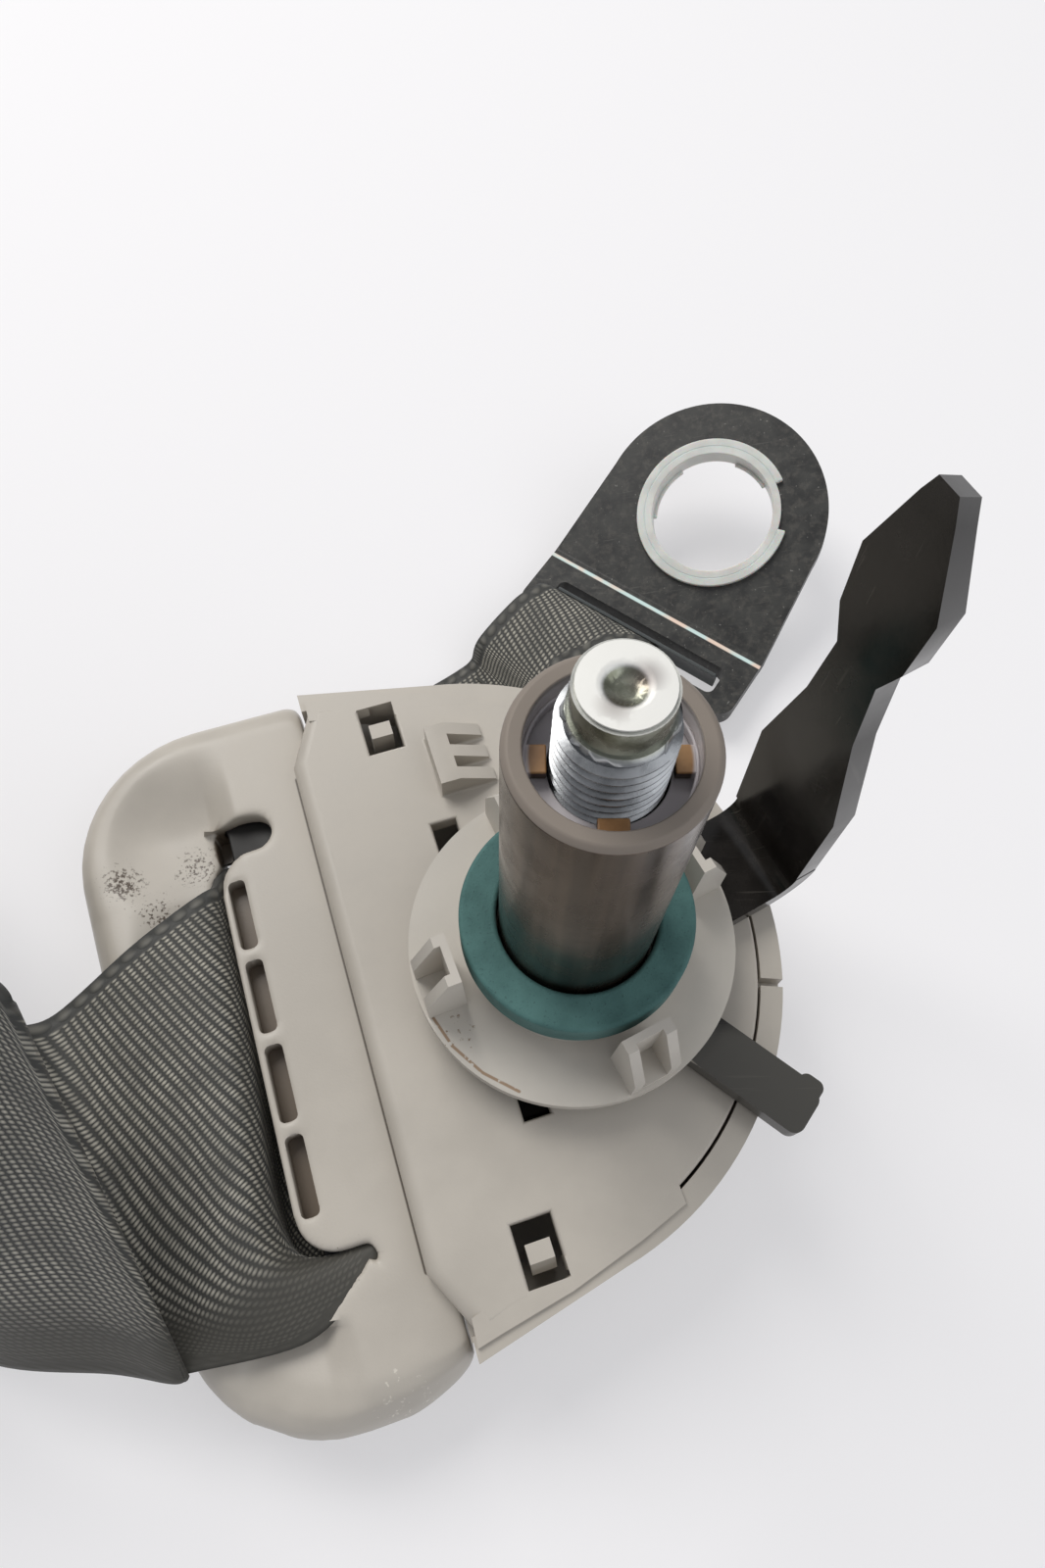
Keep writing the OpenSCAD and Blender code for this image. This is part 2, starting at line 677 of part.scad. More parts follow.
// Star ring pressed into the sleeve's end, whose lugs reach into the bolt's groove and keep the bolt in
module bolt_retainer() {
    color("#8a5a34") translate([0, 0, sleeve_top - retainer_in - retainer_t]) intersection() {
        cylinder(r = sleeve_bore_r, h = retainer_t);
        union() {
            ring(sleeve_bore_r + cut, sleeve_bore_r - retainer_wall, retainer_t);
            for (i = [0 : lug_count - 1]) rotate(i * 360 / lug_count - 90)
                translate([groove_r + lug_gap, -lug_w / 2, 0])
                    cube([sleeve_bore_r - groove_r - lug_gap, lug_w, retainer_t]);
        }
    }
}

module seal_washer() {
    color("#466c69") translate([0, 0, seal_z]) ring(seal_r, sleeve_r + rest_gap, seal_t);
}

// Upright U pocket with sloping walls, open outwards
module clip() {
    inner = ring_r - clip_edge - clip_l;
    translate([inner, 0, ring_top - seat_gap]) difference() {
        translate([0, clip_w / 2, 0]) rotate([90, 0, 0]) linear_extrude(clip_w)
            polygon([[0, 0], [clip_l, 0], [clip_l, clip_h * clip_lip], [clip_top, clip_h], [clip_draft, clip_h]]);
        translate([clip_wall, clip_wall - clip_w / 2, clip_wall]) cube([clip_l, clip_w - 2 * clip_wall, clip_h]);
    }
}

module clip_ring() {
    color("#cdc6bc") difference() {
        union() {
            translate([0, 0, ring_z]) cylinder(r = ring_r, h = ring_t);
            translate([0, 0, ring_z]) cylinder(r = ring_boss_r, h = ring_t + ring_boss_h);
            for (i = [0 : clip_count - 1]) rotate(clip_turn + i * 360 / clip_count) clip();
        }
        translate([0, 0, ring_z - cut]) cylinder(r = sleeve_r + seat_gap, h = ring_t + ring_boss_h + 2 * cut);
    }
}

// Barbed upright arm, seen along the bolt's radius: half widths at heights over the bracket
module arm_2d() {
    right = [[arm_base_w / 2, 0], [arm_base_w / 2 + arm_swell, arm_shoulder_low],
        [arm_base_w / 2 - arm_round, arm_shoulder_high], [arm_waist_w / 2 + arm_round, arm_waist_low],
        [arm_waist_w / 2, arm_waist_high], [arm_head_w / 2 - arm_swell, arm_head_low],
        [arm_head_w / 2, arm_head_high], [arm_tip_w / 2 + arm_round, arm_h - arm_point],
        [arm_tip_w / 2, arm_h]];
    shift = [for (p = right) arm_lean * (1 - 2 * p[1] / arm_h)];
    polygon(concat([for (i = [0 : len(right) - 1]) [right[i][0] - shift[i], right[i][1]]],
        [for (i = [len(right) - 1 : -1 : 0]) [-right[i][0] - shift[i], right[i][1]]]));
}

module tab_2d() {
    translate([0, -tab_w / 2]) square([tab_reach - tab_lip, tab_w]);
    round_rect([tab_reach - tab_nose, -tab_w / 2], [tab_reach, tab_w / 2 - tab_step], tab_lip);
    round_rect([tab_reach - tab_ear, 0], [tab_reach - rest_gap, tab_w / 2 + tab_step], tab_ear_r);
}

module locating_bracket() {
    bend_out = bend_r + bracket_t;
    color("#2b2926") translate([0, 0, bracket_z]) rotate(arm_turn) difference() {
        union() {
            linear_extrude(bracket_t) {
                circle(bracket_r);
                translate([0, -arm_base_w / 2 - arm_lean]) square([arm_reach - bend_r, arm_base_w]);
                rotate(tab_turn - arm_turn) tab_2d();
            }
            translate([arm_reach - bend_r, arm_base_w / 2 - arm_lean, bend_out]) rotate([90, 0, 0]) intersection() {
                ring(bend_out, bend_r, arm_base_w);
                translate([-seat_gap, -bend_out, 0]) cube([bend_out + seat_gap, bend_out, arm_base_w]);
            }
            translate([arm_reach, 0, bend_out - seat_gap]) rotate([90, 0, 90]) linear_extrude(bracket_t)
                intersection() {
                    translate([0, -bend_out]) arm_2d();
                    translate([-arm_base_w, 0]) square([2 * arm_base_w, arm_h]);
                }
        }
        translate([0, 0, -cut]) cylinder(r = sleeve_r + seat_gap, h = bracket_t + 2 * cut);
    }
}

module webbing() {
    fit = webbing_w / webbing_drawn_w;
    color("#4b4b46") strap([for (s = webbing_run) [s[1] + (s[0] - s[1]) * fit, s[1]]], webbing_t);
}

module webbing_roll() {
    color("#4b4b46") translate([roll_at[0], roll_at[1], roll_z]) ring(roll_r, roll_core_r, webbing_w);
}

// Flat tie through the roll's core and round its outside
module roll_tie() {
    inner = sqrt(pow(roll_core_r - seat_gap, 2) - pow(tie_w / 2, 2));
    reach = roll_r - inner + seat_gap + webbing_t;
    color("#3a3a38") translate([roll_at[0], roll_at[1], 0]) rotate(tie_turn) difference() {
        translate([inner - tie_t, -tie_w / 2, roll_z - seat_gap - tie_t])
            cube([reach + 2 * tie_t, tie_w, webbing_w + 2 * (seat_gap + tie_t)]);
        translate([inner, -tie_w, roll_z - seat_gap])
            cube([reach, 2 * tie_w, webbing_w + 2 * seat_gap]);
    }
}

module at_anchor() {
    translate([anchor_at[0], anchor_at[1], 0]) rotate(anchor_turn) children();
}

// Smooth guard over the loop where it bears on the plate
module wear_guard() {
    guard_half = gather - guard_in;
    reach = 2 * guard_r;
    color("#575b5a") at_anchor() translate([-guard_half, bar_mid_y, anchor_mid]) rotate([90, 0, 90])
        linear_extrude(2 * guard_half) {
            intersection() {
                difference() {
                    circle(guard_r + guard_t);
                    circle(guard_r);
                }
                polygon([[0, 0], reach * [cos(guard_low), sin(guard_low)], [reach, reach], [0, reach]]);
            }
            translate([-guard_leaf, guard_r]) square([guard_leaf, guard_t]);
        }
}

// Rows of thread that close the webbing's lap
module lap_stitching() {
    row_mid = (lap_end[0] + lap_end[1]) / 2;
    row_turn = atan2(lap_end[1][1] - lap_end[0][1], lap_end[1][0] - lap_end[0][0]);
    row_l = norm(lap_end[1] - lap_end[0]) - 2 * stitch_in;
    color("#3f403c") translate([row_mid[0], row_mid[1], lap_z + webbing_t / 2 + seat_gap]) rotate(row_turn)
        for (i = [0 : stitch_rows - 1]) translate([-row_l / 2, stitch_start + i * stitch_pitch, 0]) {
            cube([row_l, thread_w, thread_t]);
            if (i < stitch_rows - 1) for (x = [0, row_l - thread_w])
                translate([x, 0, 0]) cube([thread_w, stitch_pitch, thread_t]);
        }
}

module on_eye() {
    translate([0, 0, anchor_top + anchor_fold]) rotate([anchor_bend, 0, 0])
        translate([0, 0, -anchor_t - anchor_fold]) children();
}

module eye_plate_2d() {
    difference() {
        union() {
            intersection() {
                translate([0, eye_reach]) circle(eye_r);
                translate([-2 * eye_r, 0]) square(4 * eye_r);
            }
            polygon([[-anchor_w / 2, 0], [anchor_w / 2, 0], [eye_r, eye_reach], [-eye_r, eye_reach]]);
        }
        translate([0, eye_reach]) circle(eye_hole_r);
    }
}

module anchor_plate() {
    foot = bar_mid_y - anchor_bar / 2;
    color("#33332f") at_anchor() {
        translate([0, 0, anchor_z]) linear_extrude(anchor_t) difference() {
            union() {
                round_rect([-anchor_w / 2, foot], [anchor_w / 2, -anchor_corner], anchor_corner);
                translate([-anchor_w / 2, -2 * anchor_corner]) square([anchor_w, 2 * anchor_corner]);
            }
            translate([0, bar_mid_y + anchor_bar / 2]) round_rect([-anchor_slot_l / 2, 0],
                [anchor_slot_l / 2, anchor_slot], anchor_slot_r);
        }
        translate([-anchor_w / 2 - fold_proud, 0, anchor_top + anchor_fold]) rotate([90, 0, 90]) rotate(-90 - fold_past)
            rotate_extrude(angle = anchor_bend + 2 * fold_past) translate([anchor_fold - fold_proud, 0])
                square([anchor_t + 2 * fold_proud, anchor_w + 2 * fold_proud]);
        on_eye() linear_extrude(anchor_t) eye_plate_2d();
    }
}

module anchor_bush() {
    color("#dcdcd6") at_anchor() on_eye() translate([0, eye_reach, 0]) {
        difference() {
            union() {
                ring(eye_hole_r, bush_bore_r, anchor_t + bush_flange);
                translate([0, 0, anchor_t]) ring(bush_flange_r, bush_bore_r, bush_flange);
            }
            rotate(bush_notch_turn - bush_notch / 2) translate([0, 0, anchor_t]) rotate_extrude(angle = bush_notch)
                translate([bush_bore_r - cut, 0]) square([bush_flange_r, 2 * bush_flange]);
        }
    }
}

guide_loop();
loop_plate();
rear_cover();
front_cover();
bolt_cap();
pivot_bush();
friction_washer();
wave_washer();
anchor_bolt();
spacer_sleeve();
bolt_retainer();
seal_washer();
clip_ring();
locating_bracket();
webbing();
webbing_roll();
roll_tie();
wear_guard();
lap_stitching();
anchor_plate();
anchor_bush();
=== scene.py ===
"""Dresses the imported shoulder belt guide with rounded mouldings, a woven strap, a cut thread and finishes."""

import json
import math

import bmesh
import bpy
from mathutils import Matrix, Vector

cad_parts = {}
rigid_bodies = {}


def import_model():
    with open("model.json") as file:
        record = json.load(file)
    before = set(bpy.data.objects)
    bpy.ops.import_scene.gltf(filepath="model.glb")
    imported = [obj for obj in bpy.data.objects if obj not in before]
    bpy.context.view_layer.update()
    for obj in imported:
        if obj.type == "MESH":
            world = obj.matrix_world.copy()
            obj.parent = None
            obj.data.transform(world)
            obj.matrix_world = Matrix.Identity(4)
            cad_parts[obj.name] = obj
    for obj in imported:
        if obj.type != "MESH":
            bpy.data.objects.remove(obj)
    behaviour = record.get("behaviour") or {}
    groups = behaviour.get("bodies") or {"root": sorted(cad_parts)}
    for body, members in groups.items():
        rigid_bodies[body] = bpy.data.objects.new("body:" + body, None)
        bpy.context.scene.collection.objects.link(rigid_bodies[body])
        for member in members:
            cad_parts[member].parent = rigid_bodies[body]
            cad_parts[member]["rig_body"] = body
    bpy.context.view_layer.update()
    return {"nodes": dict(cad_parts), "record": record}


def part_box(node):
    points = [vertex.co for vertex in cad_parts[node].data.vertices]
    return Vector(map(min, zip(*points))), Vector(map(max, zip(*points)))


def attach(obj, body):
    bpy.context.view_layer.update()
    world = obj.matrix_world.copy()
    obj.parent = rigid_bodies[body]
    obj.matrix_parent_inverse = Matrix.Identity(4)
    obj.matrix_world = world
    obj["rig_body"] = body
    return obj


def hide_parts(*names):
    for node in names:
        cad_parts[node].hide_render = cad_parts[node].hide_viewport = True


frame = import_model()
cad = frame["nodes"]
slot_of = {part["node"]: part["material_slot"] for part in frame["record"]["subparts"]}
scene = bpy.context.scene
scene.view_settings.view_transform = "Standard"
mm = 0.001

# Heights and places shared with the solids, in millimetres
TABLE_Z = -78.0
LOOP_Z = -73.4
PLATE_MID = -66.9
LOOP_TOP = -61.9
LOOP_TURN = math.radians(17.5)
SLOT_X = (-47.5, -41.0)
SLOT_Y = (-34.5, 33.0)
SLOT_MID = sum(SLOT_X) / 2
HOOK_TOP = (-35.2, 30.3)
HOOK_LOW = (-33.2, -27.1)
ANCHOR_AT = (17.0, 62.5)
ANCHOR_TURN = math.radians(-34.2)
ANCHOR_MID = -73.6
ANCHOR_T = 3.0
ANCHOR_FOLD = 0.8
BAR_MID_Y = -10.5
LOOP_R = 3.5
EYE_REACH = 17.0
EYE_TILT = math.radians(25)
ROLL_AT = (-118.0, 4.0)
ROLL_Z = -77.5
ROLL_R = 29.4
ROLL_CORE_R = 6.5
WEBBING_W = 48.0
WEBBING_T = 1.2
LAP_FAR = (-19.6, 49.1)
LAP_NEAR = (13.0, 18.0)
BOLT_R = 5.0
SLEEVE_BORE_R = 7.2
RETAINER_Z = (-3.4, -2.2)
BRACKET_TOP = -53.9
ARM_TURN = math.radians(29)
ARM_REACH = 28.0
REAR_TOP = -57.9
STEP_X = -27.6
RIB_LOW_Y = 25.8
RIM_TOP = REAR_TOP - 1.4
RIM_LIFT = 0.9
# The rear cover's two margins over the front cover's rim, in the loop's own directions
MARGIN_LOW = ((-24.2, -39.3), (-21.2, -38.7), (-12.3, -37.1), (-3.1, -34.6), (3.1, -32.5), (3.1, -29.9),
              (-2.4, -31.6), (-12.1, -33.4), (-12.1, -35.6), (-17.1, -35.6), (-17.8, -34.4), (-24.0, -36.2))
MARGIN_TOP = ((-23.8, 45.6), (-15.8, 44.8), (-6.3, 41.6), (4.2, 36.5), (3.4, 34.0), (-7.1, 38.9),
              (-12.1, 39.8), (-12.1, 42.05), (-17.1, 42.05), (-17.8, 41.0), (-23.8, 42.4))
# The row of four recesses beside the loop's slot
RECESS_W = 2.3
RECESS_L = 9.8
RECESS_DEPTH = 3.1
RECESS_PITCH = 11.45
RECESS_MID_Y = 1.9


def held(value):
    """The value, kept between nought and one."""
    return min(1.0, max(0.0, value))


def eased(share):
    """The share, with a soft start and end."""
    return share * share * (3 - 2 * share)


def put(name, data):
    """A new object in the scene."""
    made = bpy.data.objects.new(name, data)
    scene.collection.objects.link(made)
    return made


def finished_mesh(name, bm):
    mesh = bpy.data.meshes.new(name)
    bm.to_mesh(mesh)
    bm.free()
    return mesh


def add_camera():
    """Hand-held view from above the lower edge, looking down at the guide's rear side."""
    data = bpy.data.cameras.new("photo_camera")
    data.lens = 24.75
    data.sensor_width = 36
    data.clip_start = 0.005
    camera = put("photo_camera", data)
    camera.location = Vector((-9.11, -38.38, 75.5)) * mm
    camera.rotation_euler = [math.radians(angle) for angle in (24.92, -1.195, -0.555)]
    scene.camera = camera


# Shader helpers

def add_node(tree, kind, inputs=None, **settings):
    """A node with its settings, whose inputs are values or other nodes' outputs."""
    made = tree.nodes.new(kind)
    for name, value in settings.items():
        setattr(made, name, value)
    for name, source in (inputs or {}).items():
        if isinstance(source, bpy.types.NodeSocket):
            tree.links.new(source, made.inputs[name])
        else:
            made.inputs[name].default_value = source
    return made


def tree_of(*sources):
    """The tree of the first of these that is another node's output."""
    return next(source.id_data for source in sources if isinstance(source, bpy.types.NodeSocket))


def math_node(operation, first, second=0.0, clamp=False):
    made = add_node(tree_of(first, second), "ShaderNodeMath", {0: first, 1: second},
                    operation=operation, use_clamp=clamp)
    return made.outputs[0]


def times(first, second, clamp=False):
    return math_node("MULTIPLY", first, second, clamp)


def minus(first, second, clamp=False):
    return math_node("SUBTRACT", first, second, clamp)


def vector_node(operation, first, second):
    """The vector, or the one number, that two vectors give."""
    made = add_node(first.id_data, "ShaderNodeVectorMath", {0: first, 1: second}, operation=operation)
    return made.outputs["Value" if operation in ("DOT_PRODUCT", "DISTANCE") else "Vector"]


def spread(value, low, high, to_low=0.0, to_high=1.0):
    """The value's share between low and high, eased at both ends."""
    limits = {"Value": value, "From Min": low, "From Max": high, "To Min": to_low, "To Max": to_high}
    return add_node(value.id_data, "ShaderNodeMapRange", limits, interpolation_type="SMOOTHSTEP").outputs[0]


def noise(position, scale, detail=3.0, roughness=0.55):
    settings = {"Vector": position, "Scale": scale, "Detail": detail, "Roughness": roughness}
    return add_node(position.id_data, "ShaderNodeTexNoise", settings).outputs["Fac"]


def mix_colour(share, first, second):
    """The first colour, and the second one where the share is 1."""
    first, second = (source if isinstance(source, bpy.types.NodeSocket) else (*source, 1.0)
                     for source in (first, second))
    inputs = {0: share, 6: first, 7: second}
    return add_node(share.id_data, "ShaderNodeMix", inputs, data_type="RGBA").outputs[2]


def mix_values(share, first, second):
    return add_node(share.id_data, "ShaderNodeMix", {0: share, 2: first, 3: second}).outputs[0]


VECTORS = ("Position", "Centre", "From", "To", "UV")


def new_group(name, inputs, outputs):
    """An empty shader group with named sockets, and its input and output nodes."""
    group = bpy.data.node_groups.new(name, "ShaderNodeTree")
    for sockets, way in ((inputs, "INPUT"), (outputs, "OUTPUT")):
        for socket in sockets.split():
            kind = "NodeSocketVector" if socket in VECTORS else "NodeSocketFloat"
            group.interface.new_socket(socket, in_out=way, socket_type=kind)
    return group, group.nodes.new("NodeGroupInput").outputs, group.nodes.new("NodeGroupOutput").inputs


def use_group(group, inputs):
    return add_node(tree_of(*inputs.values()), "ShaderNodeGroup", inputs, node_tree=group).outputs


def linear(red, green, blue):
    """A colour written as it looks, 0 to 255, as the renderer's own values."""
    return tuple(((c / 255 + 0.055) / 1.055) ** 2.4 if c > 10 else c / 3294.6 for c in (red, green, blue))


def make_grain_group():
    """Fine moulded or cast texture, with slow changes of tone over the piece."""
    group, given, out = new_group("surface_grain", "Position Grain Blotch", "Height Tone")
    group.links.new(noise(given["Position"], given["Grain"], 2.0), out["Height"])
    group.links.new(noise(given["Position"], given["Blotch"], 4.0), out["Tone"])
    return group


def make_patch_group():
    """Specks round a point, denser towards it."""
    group, given, out = new_group("speck_patch", "Position Centre Reach Speck Cover", "Mask")
    pull, contrast = 0.3, 12.0
    away = vector_node("DISTANCE", given["Position"], given["Centre"])
    near = spread(math_node("DIVIDE", away, given["Reach"]), 1.0, 0.1)
    specks = noise(given["Position"], given["Speck"], 3.0, 0.65)
    edge = minus(1.0, given["Cover"])
    level = math_node("ADD", specks, times(near, pull))
    level = times(minus(level, edge), contrast, True)
    group.links.new(times(near, level, True), out["Mask"])
    return group


def make_line_group():
    """A thin mark from one point to another, with uneven breaks in it."""
    group, given, out = new_group("line_mark", "Position From To Width Breaks", "Mask")
    reach = vector_node("SUBTRACT", given["Position"], given["From"])
    span = vector_node("SUBTRACT", given["To"], given["From"])
    share = math_node("DIVIDE", vector_node("DOT_PRODUCT", reach, span),
                      vector_node("DOT_PRODUCT", span, span), True)
    foot = add_node(group, "ShaderNodeVectorMath", {0: span, "Scale": share}, operation="SCALE")
    away = vector_node("DISTANCE", reach, foot.outputs["Vector"])
    line = spread(math_node("DIVIDE", away, given["Width"]), 1.0, 0.55)
    uneven = noise(given["Position"], 900.0, 2.0)
    kept = spread(uneven, minus(given["Breaks"], 0.08), given["Breaks"])
    group.links.new(times(line, kept), out["Mask"])
    return group


def make_scratch_group():
    """Thin scratches that run in many directions."""
    group, given, out = new_group("fine_scratches", "Position Scale Amount", "Mask")
    total = None
    for turn, stretch in ((0.5, 14.0), (1.9, 18.0), (2.7, 22.0)):
        stretched = {"Vector": given["Position"], "Rotation": (0.3, 0.2, turn), "Scale": (1.0, stretch, 1.0)}
        drawn = add_node(group, "ShaderNodeMapping", stretched)
        lines = noise(drawn.outputs[0], given["Scale"], 1.0)
        thin = spread(lines, 0.7, 0.78)
        total = thin if total is None else math_node("MAXIMUM", total, thin)
    group.links.new(times(total, given["Amount"], True), out["Mask"])
    return group


def make_weave_group():
    """Rows of yarn floats, large and staggered in the strap's edges, with a painted highlight on each float's
    top. UV and Edge are in millimetres.
    """
    group, given, out = new_group("woven_floats", "UV Edge", "Height Float")
    split = add_node(group, "ShaderNodeSeparateXYZ", {0: given["UV"]})
    along, across = split.outputs[0], split.outputs[1]

    def fall(place, steepness):
        """Nought at the middle of a float, and growing away from it."""
        off_middle = minus(math_node("FRACT", place), 0.5)
        return math_node("POWER", times(off_middle, steepness), 2.0)

    def floats(length, width, stagger):
        rows = math_node("DIVIDE", across, width)
        shift = times(math_node("FLOOR", rows), stagger)
        place = math_node("ADD", math_node("DIVIDE", along, length), shift)
        drop = math_node("ADD", fall(place, 2.25), fall(rows, 2.1))
        return minus(1.0, drop, True)

    inside = spread(given["Edge"], 1.7, 2.3)
    height = mix_values(inside, floats(length=2.6, width=1.7, stagger=0.5),
                        floats(length=1.12, width=0.62, stagger=0.0))
    group.links.new(height, out["Height"])
    uneven = noise(given["UV"], 0.2, 3.0)
    lit = times(spread(uneven, 0.25, 0.75, 0.5, 1.0), spread(inside, 0.0, 1.0, 0.22, 1.0))
    group.links.new(times(math_node("POWER", height, 1.4), lit), out["Float"])
    return group


grain_group = make_grain_group()
patch_group = make_patch_group()
line_group = make_line_group()
scratch_group = make_scratch_group()
weave_group = make_weave_group()


finishes = {}


class Finish:
    """A material kept under its slot's name, with its tree, shader, coordinates and grain.

    Grain and blotch are the sizes of the fine texture and of the slow changes of tone, in millimetres.
    """

    def __init__(self, slot, name, grain=None, blotch=None):
        material = finishes[slot] = bpy.data.materials.new(name)
        material.use_nodes = True
        self.tree = material.node_tree
        self.shader = self.tree.nodes["Principled BSDF"]
        coordinates = self.tree.nodes.new("ShaderNodeTexCoord")
        self.position = coordinates.outputs["Object"]
        self.uv = coordinates.outputs["UV"]
        if grain:
            sizes = {"Position": self.position, "Grain": 1 / (grain * mm), "Blotch": 1 / (blotch * mm)}
            texture = use_group(grain_group, sizes)
            self.height, self.tone = texture["Height"], texture["Tone"]

    def set(self, **values):
        for name, value in values.items():
            self.shader.inputs[name.replace("_", " ").title().replace("Ior", "IOR")].default_value = value

    def feed(self, name, source):
        self.tree.links.new(source, self.shader.inputs[name])

    def bump(self, height, strength, distance=0.0001):
        settings = {"Height": height, "Strength": strength, "Distance": distance}
        self.feed("Normal", add_node(self.tree, "ShaderNodeBump", settings).outputs[0])

    def two_tones(self, dark, light, low=0.3, high=0.7):
        """A colour that wanders between two with the slow tone."""
        return mix_colour(spread(self.tone, low, high), dark, light)

    def roughness(self, least, most, low=0.3, high=0.7):
        """A roughness that wanders between two values with the slow tone."""
        return spread(self.tone, low, high, least, most)

    def attribute(self, name):
        """A value that the piece's mesh carries, or nought where it carries none."""
        return add_node(self.tree, "ShaderNodeAttribute", attribute_name=name).outputs["Fac"]

    def radius_and_height(self):
        """Distance from the bolt's axis, and height, in metres."""
        split = add_node(self.tree, "ShaderNodeSeparateXYZ", {0: self.position}).outputs
        flat = add_node(self.tree, "ShaderNodeCombineXYZ", {"X": split["X"], "Y": split["Y"]}).outputs[0]
        return vector_node("DISTANCE", flat, (0, 0, 0)), split["Z"]

    def marked(self, colour, under, group, strength=1.0, **places):
        """The colour so far, with another one where the group's mask is."""
        mask = use_group(group, {"Position": self.position, **places})["Mask"]
        return mix_colour(times(mask, strength), under, colour)

    def line(self, colour, under, start, end, width, breaks):
        """A thin mark on the colour so far. Places and half width are in millimetres."""
        return self.marked(colour, under, line_group, From=Vector(start) * mm, To=Vector(end) * mm,
                           Width=width * mm, Breaks=breaks)

    def patch(self, colour, under, at, reach, speck, cover, strength=1.0):
        """A stained or dusty patch on the colour so far. Sizes are in millimetres."""
        return self.marked(colour, under, patch_group, strength, Centre=Vector(at) * mm, Reach=reach * mm,
                           Speck=1 / (speck * mm), Cover=cover)


def turned(x, y, turn, at=(0.0, 0.0)):
    return (at[0] + x * math.cos(turn) - y * math.sin(turn), at[1] + x * math.sin(turn) + y * math.cos(turn))


def on_loop(x, y, z):
    return Vector((*turned(x, y, LOOP_TURN), z))


def on_anchor(x, y, z):
    return Vector((*turned(x, y, ANCHOR_TURN, ANCHOR_AT), z))


def on_rim(degrees, radius, z):
    return (*turned(radius, 0, math.radians(degrees)), z)


def plain_plastic(slot, name, colour, rough, stains=(), marks=(), hollow_shade=None):
    """Moulded plastic with fine grain, uneven tone, specks, marks and painted shade in hollows."""
    finish = Finish(slot, name, grain=0.35, blotch=14.0)
    tone = finish.two_tones(tuple(c * 0.9 for c in colour), colour)
    for stain in stains:
        tone = finish.patch(under=tone, **stain)
    for mark in marks:
        tone = finish.line(under=tone, **mark)
    # Painted shade: a dark taupe where the mesh's hollow value is high, in recesses and hooks.
    if hollow_shade:
        tone = mix_colour(finish.attribute("hollow_shade"), tone, hollow_shade)
    finish.feed("Base Color", tone)
    finish.feed("Roughness", finish.roughness(rough - 0.06, rough + 0.08))
    finish.bump(finish.height, strength=0.12)


BROWN_DIRT = linear(66, 50, 34)
PALE_SCUFF = linear(224, 218, 206)
SEAM_SHADE = linear(92, 84, 74)
RIM_SCUFF = linear(150, 126, 102)


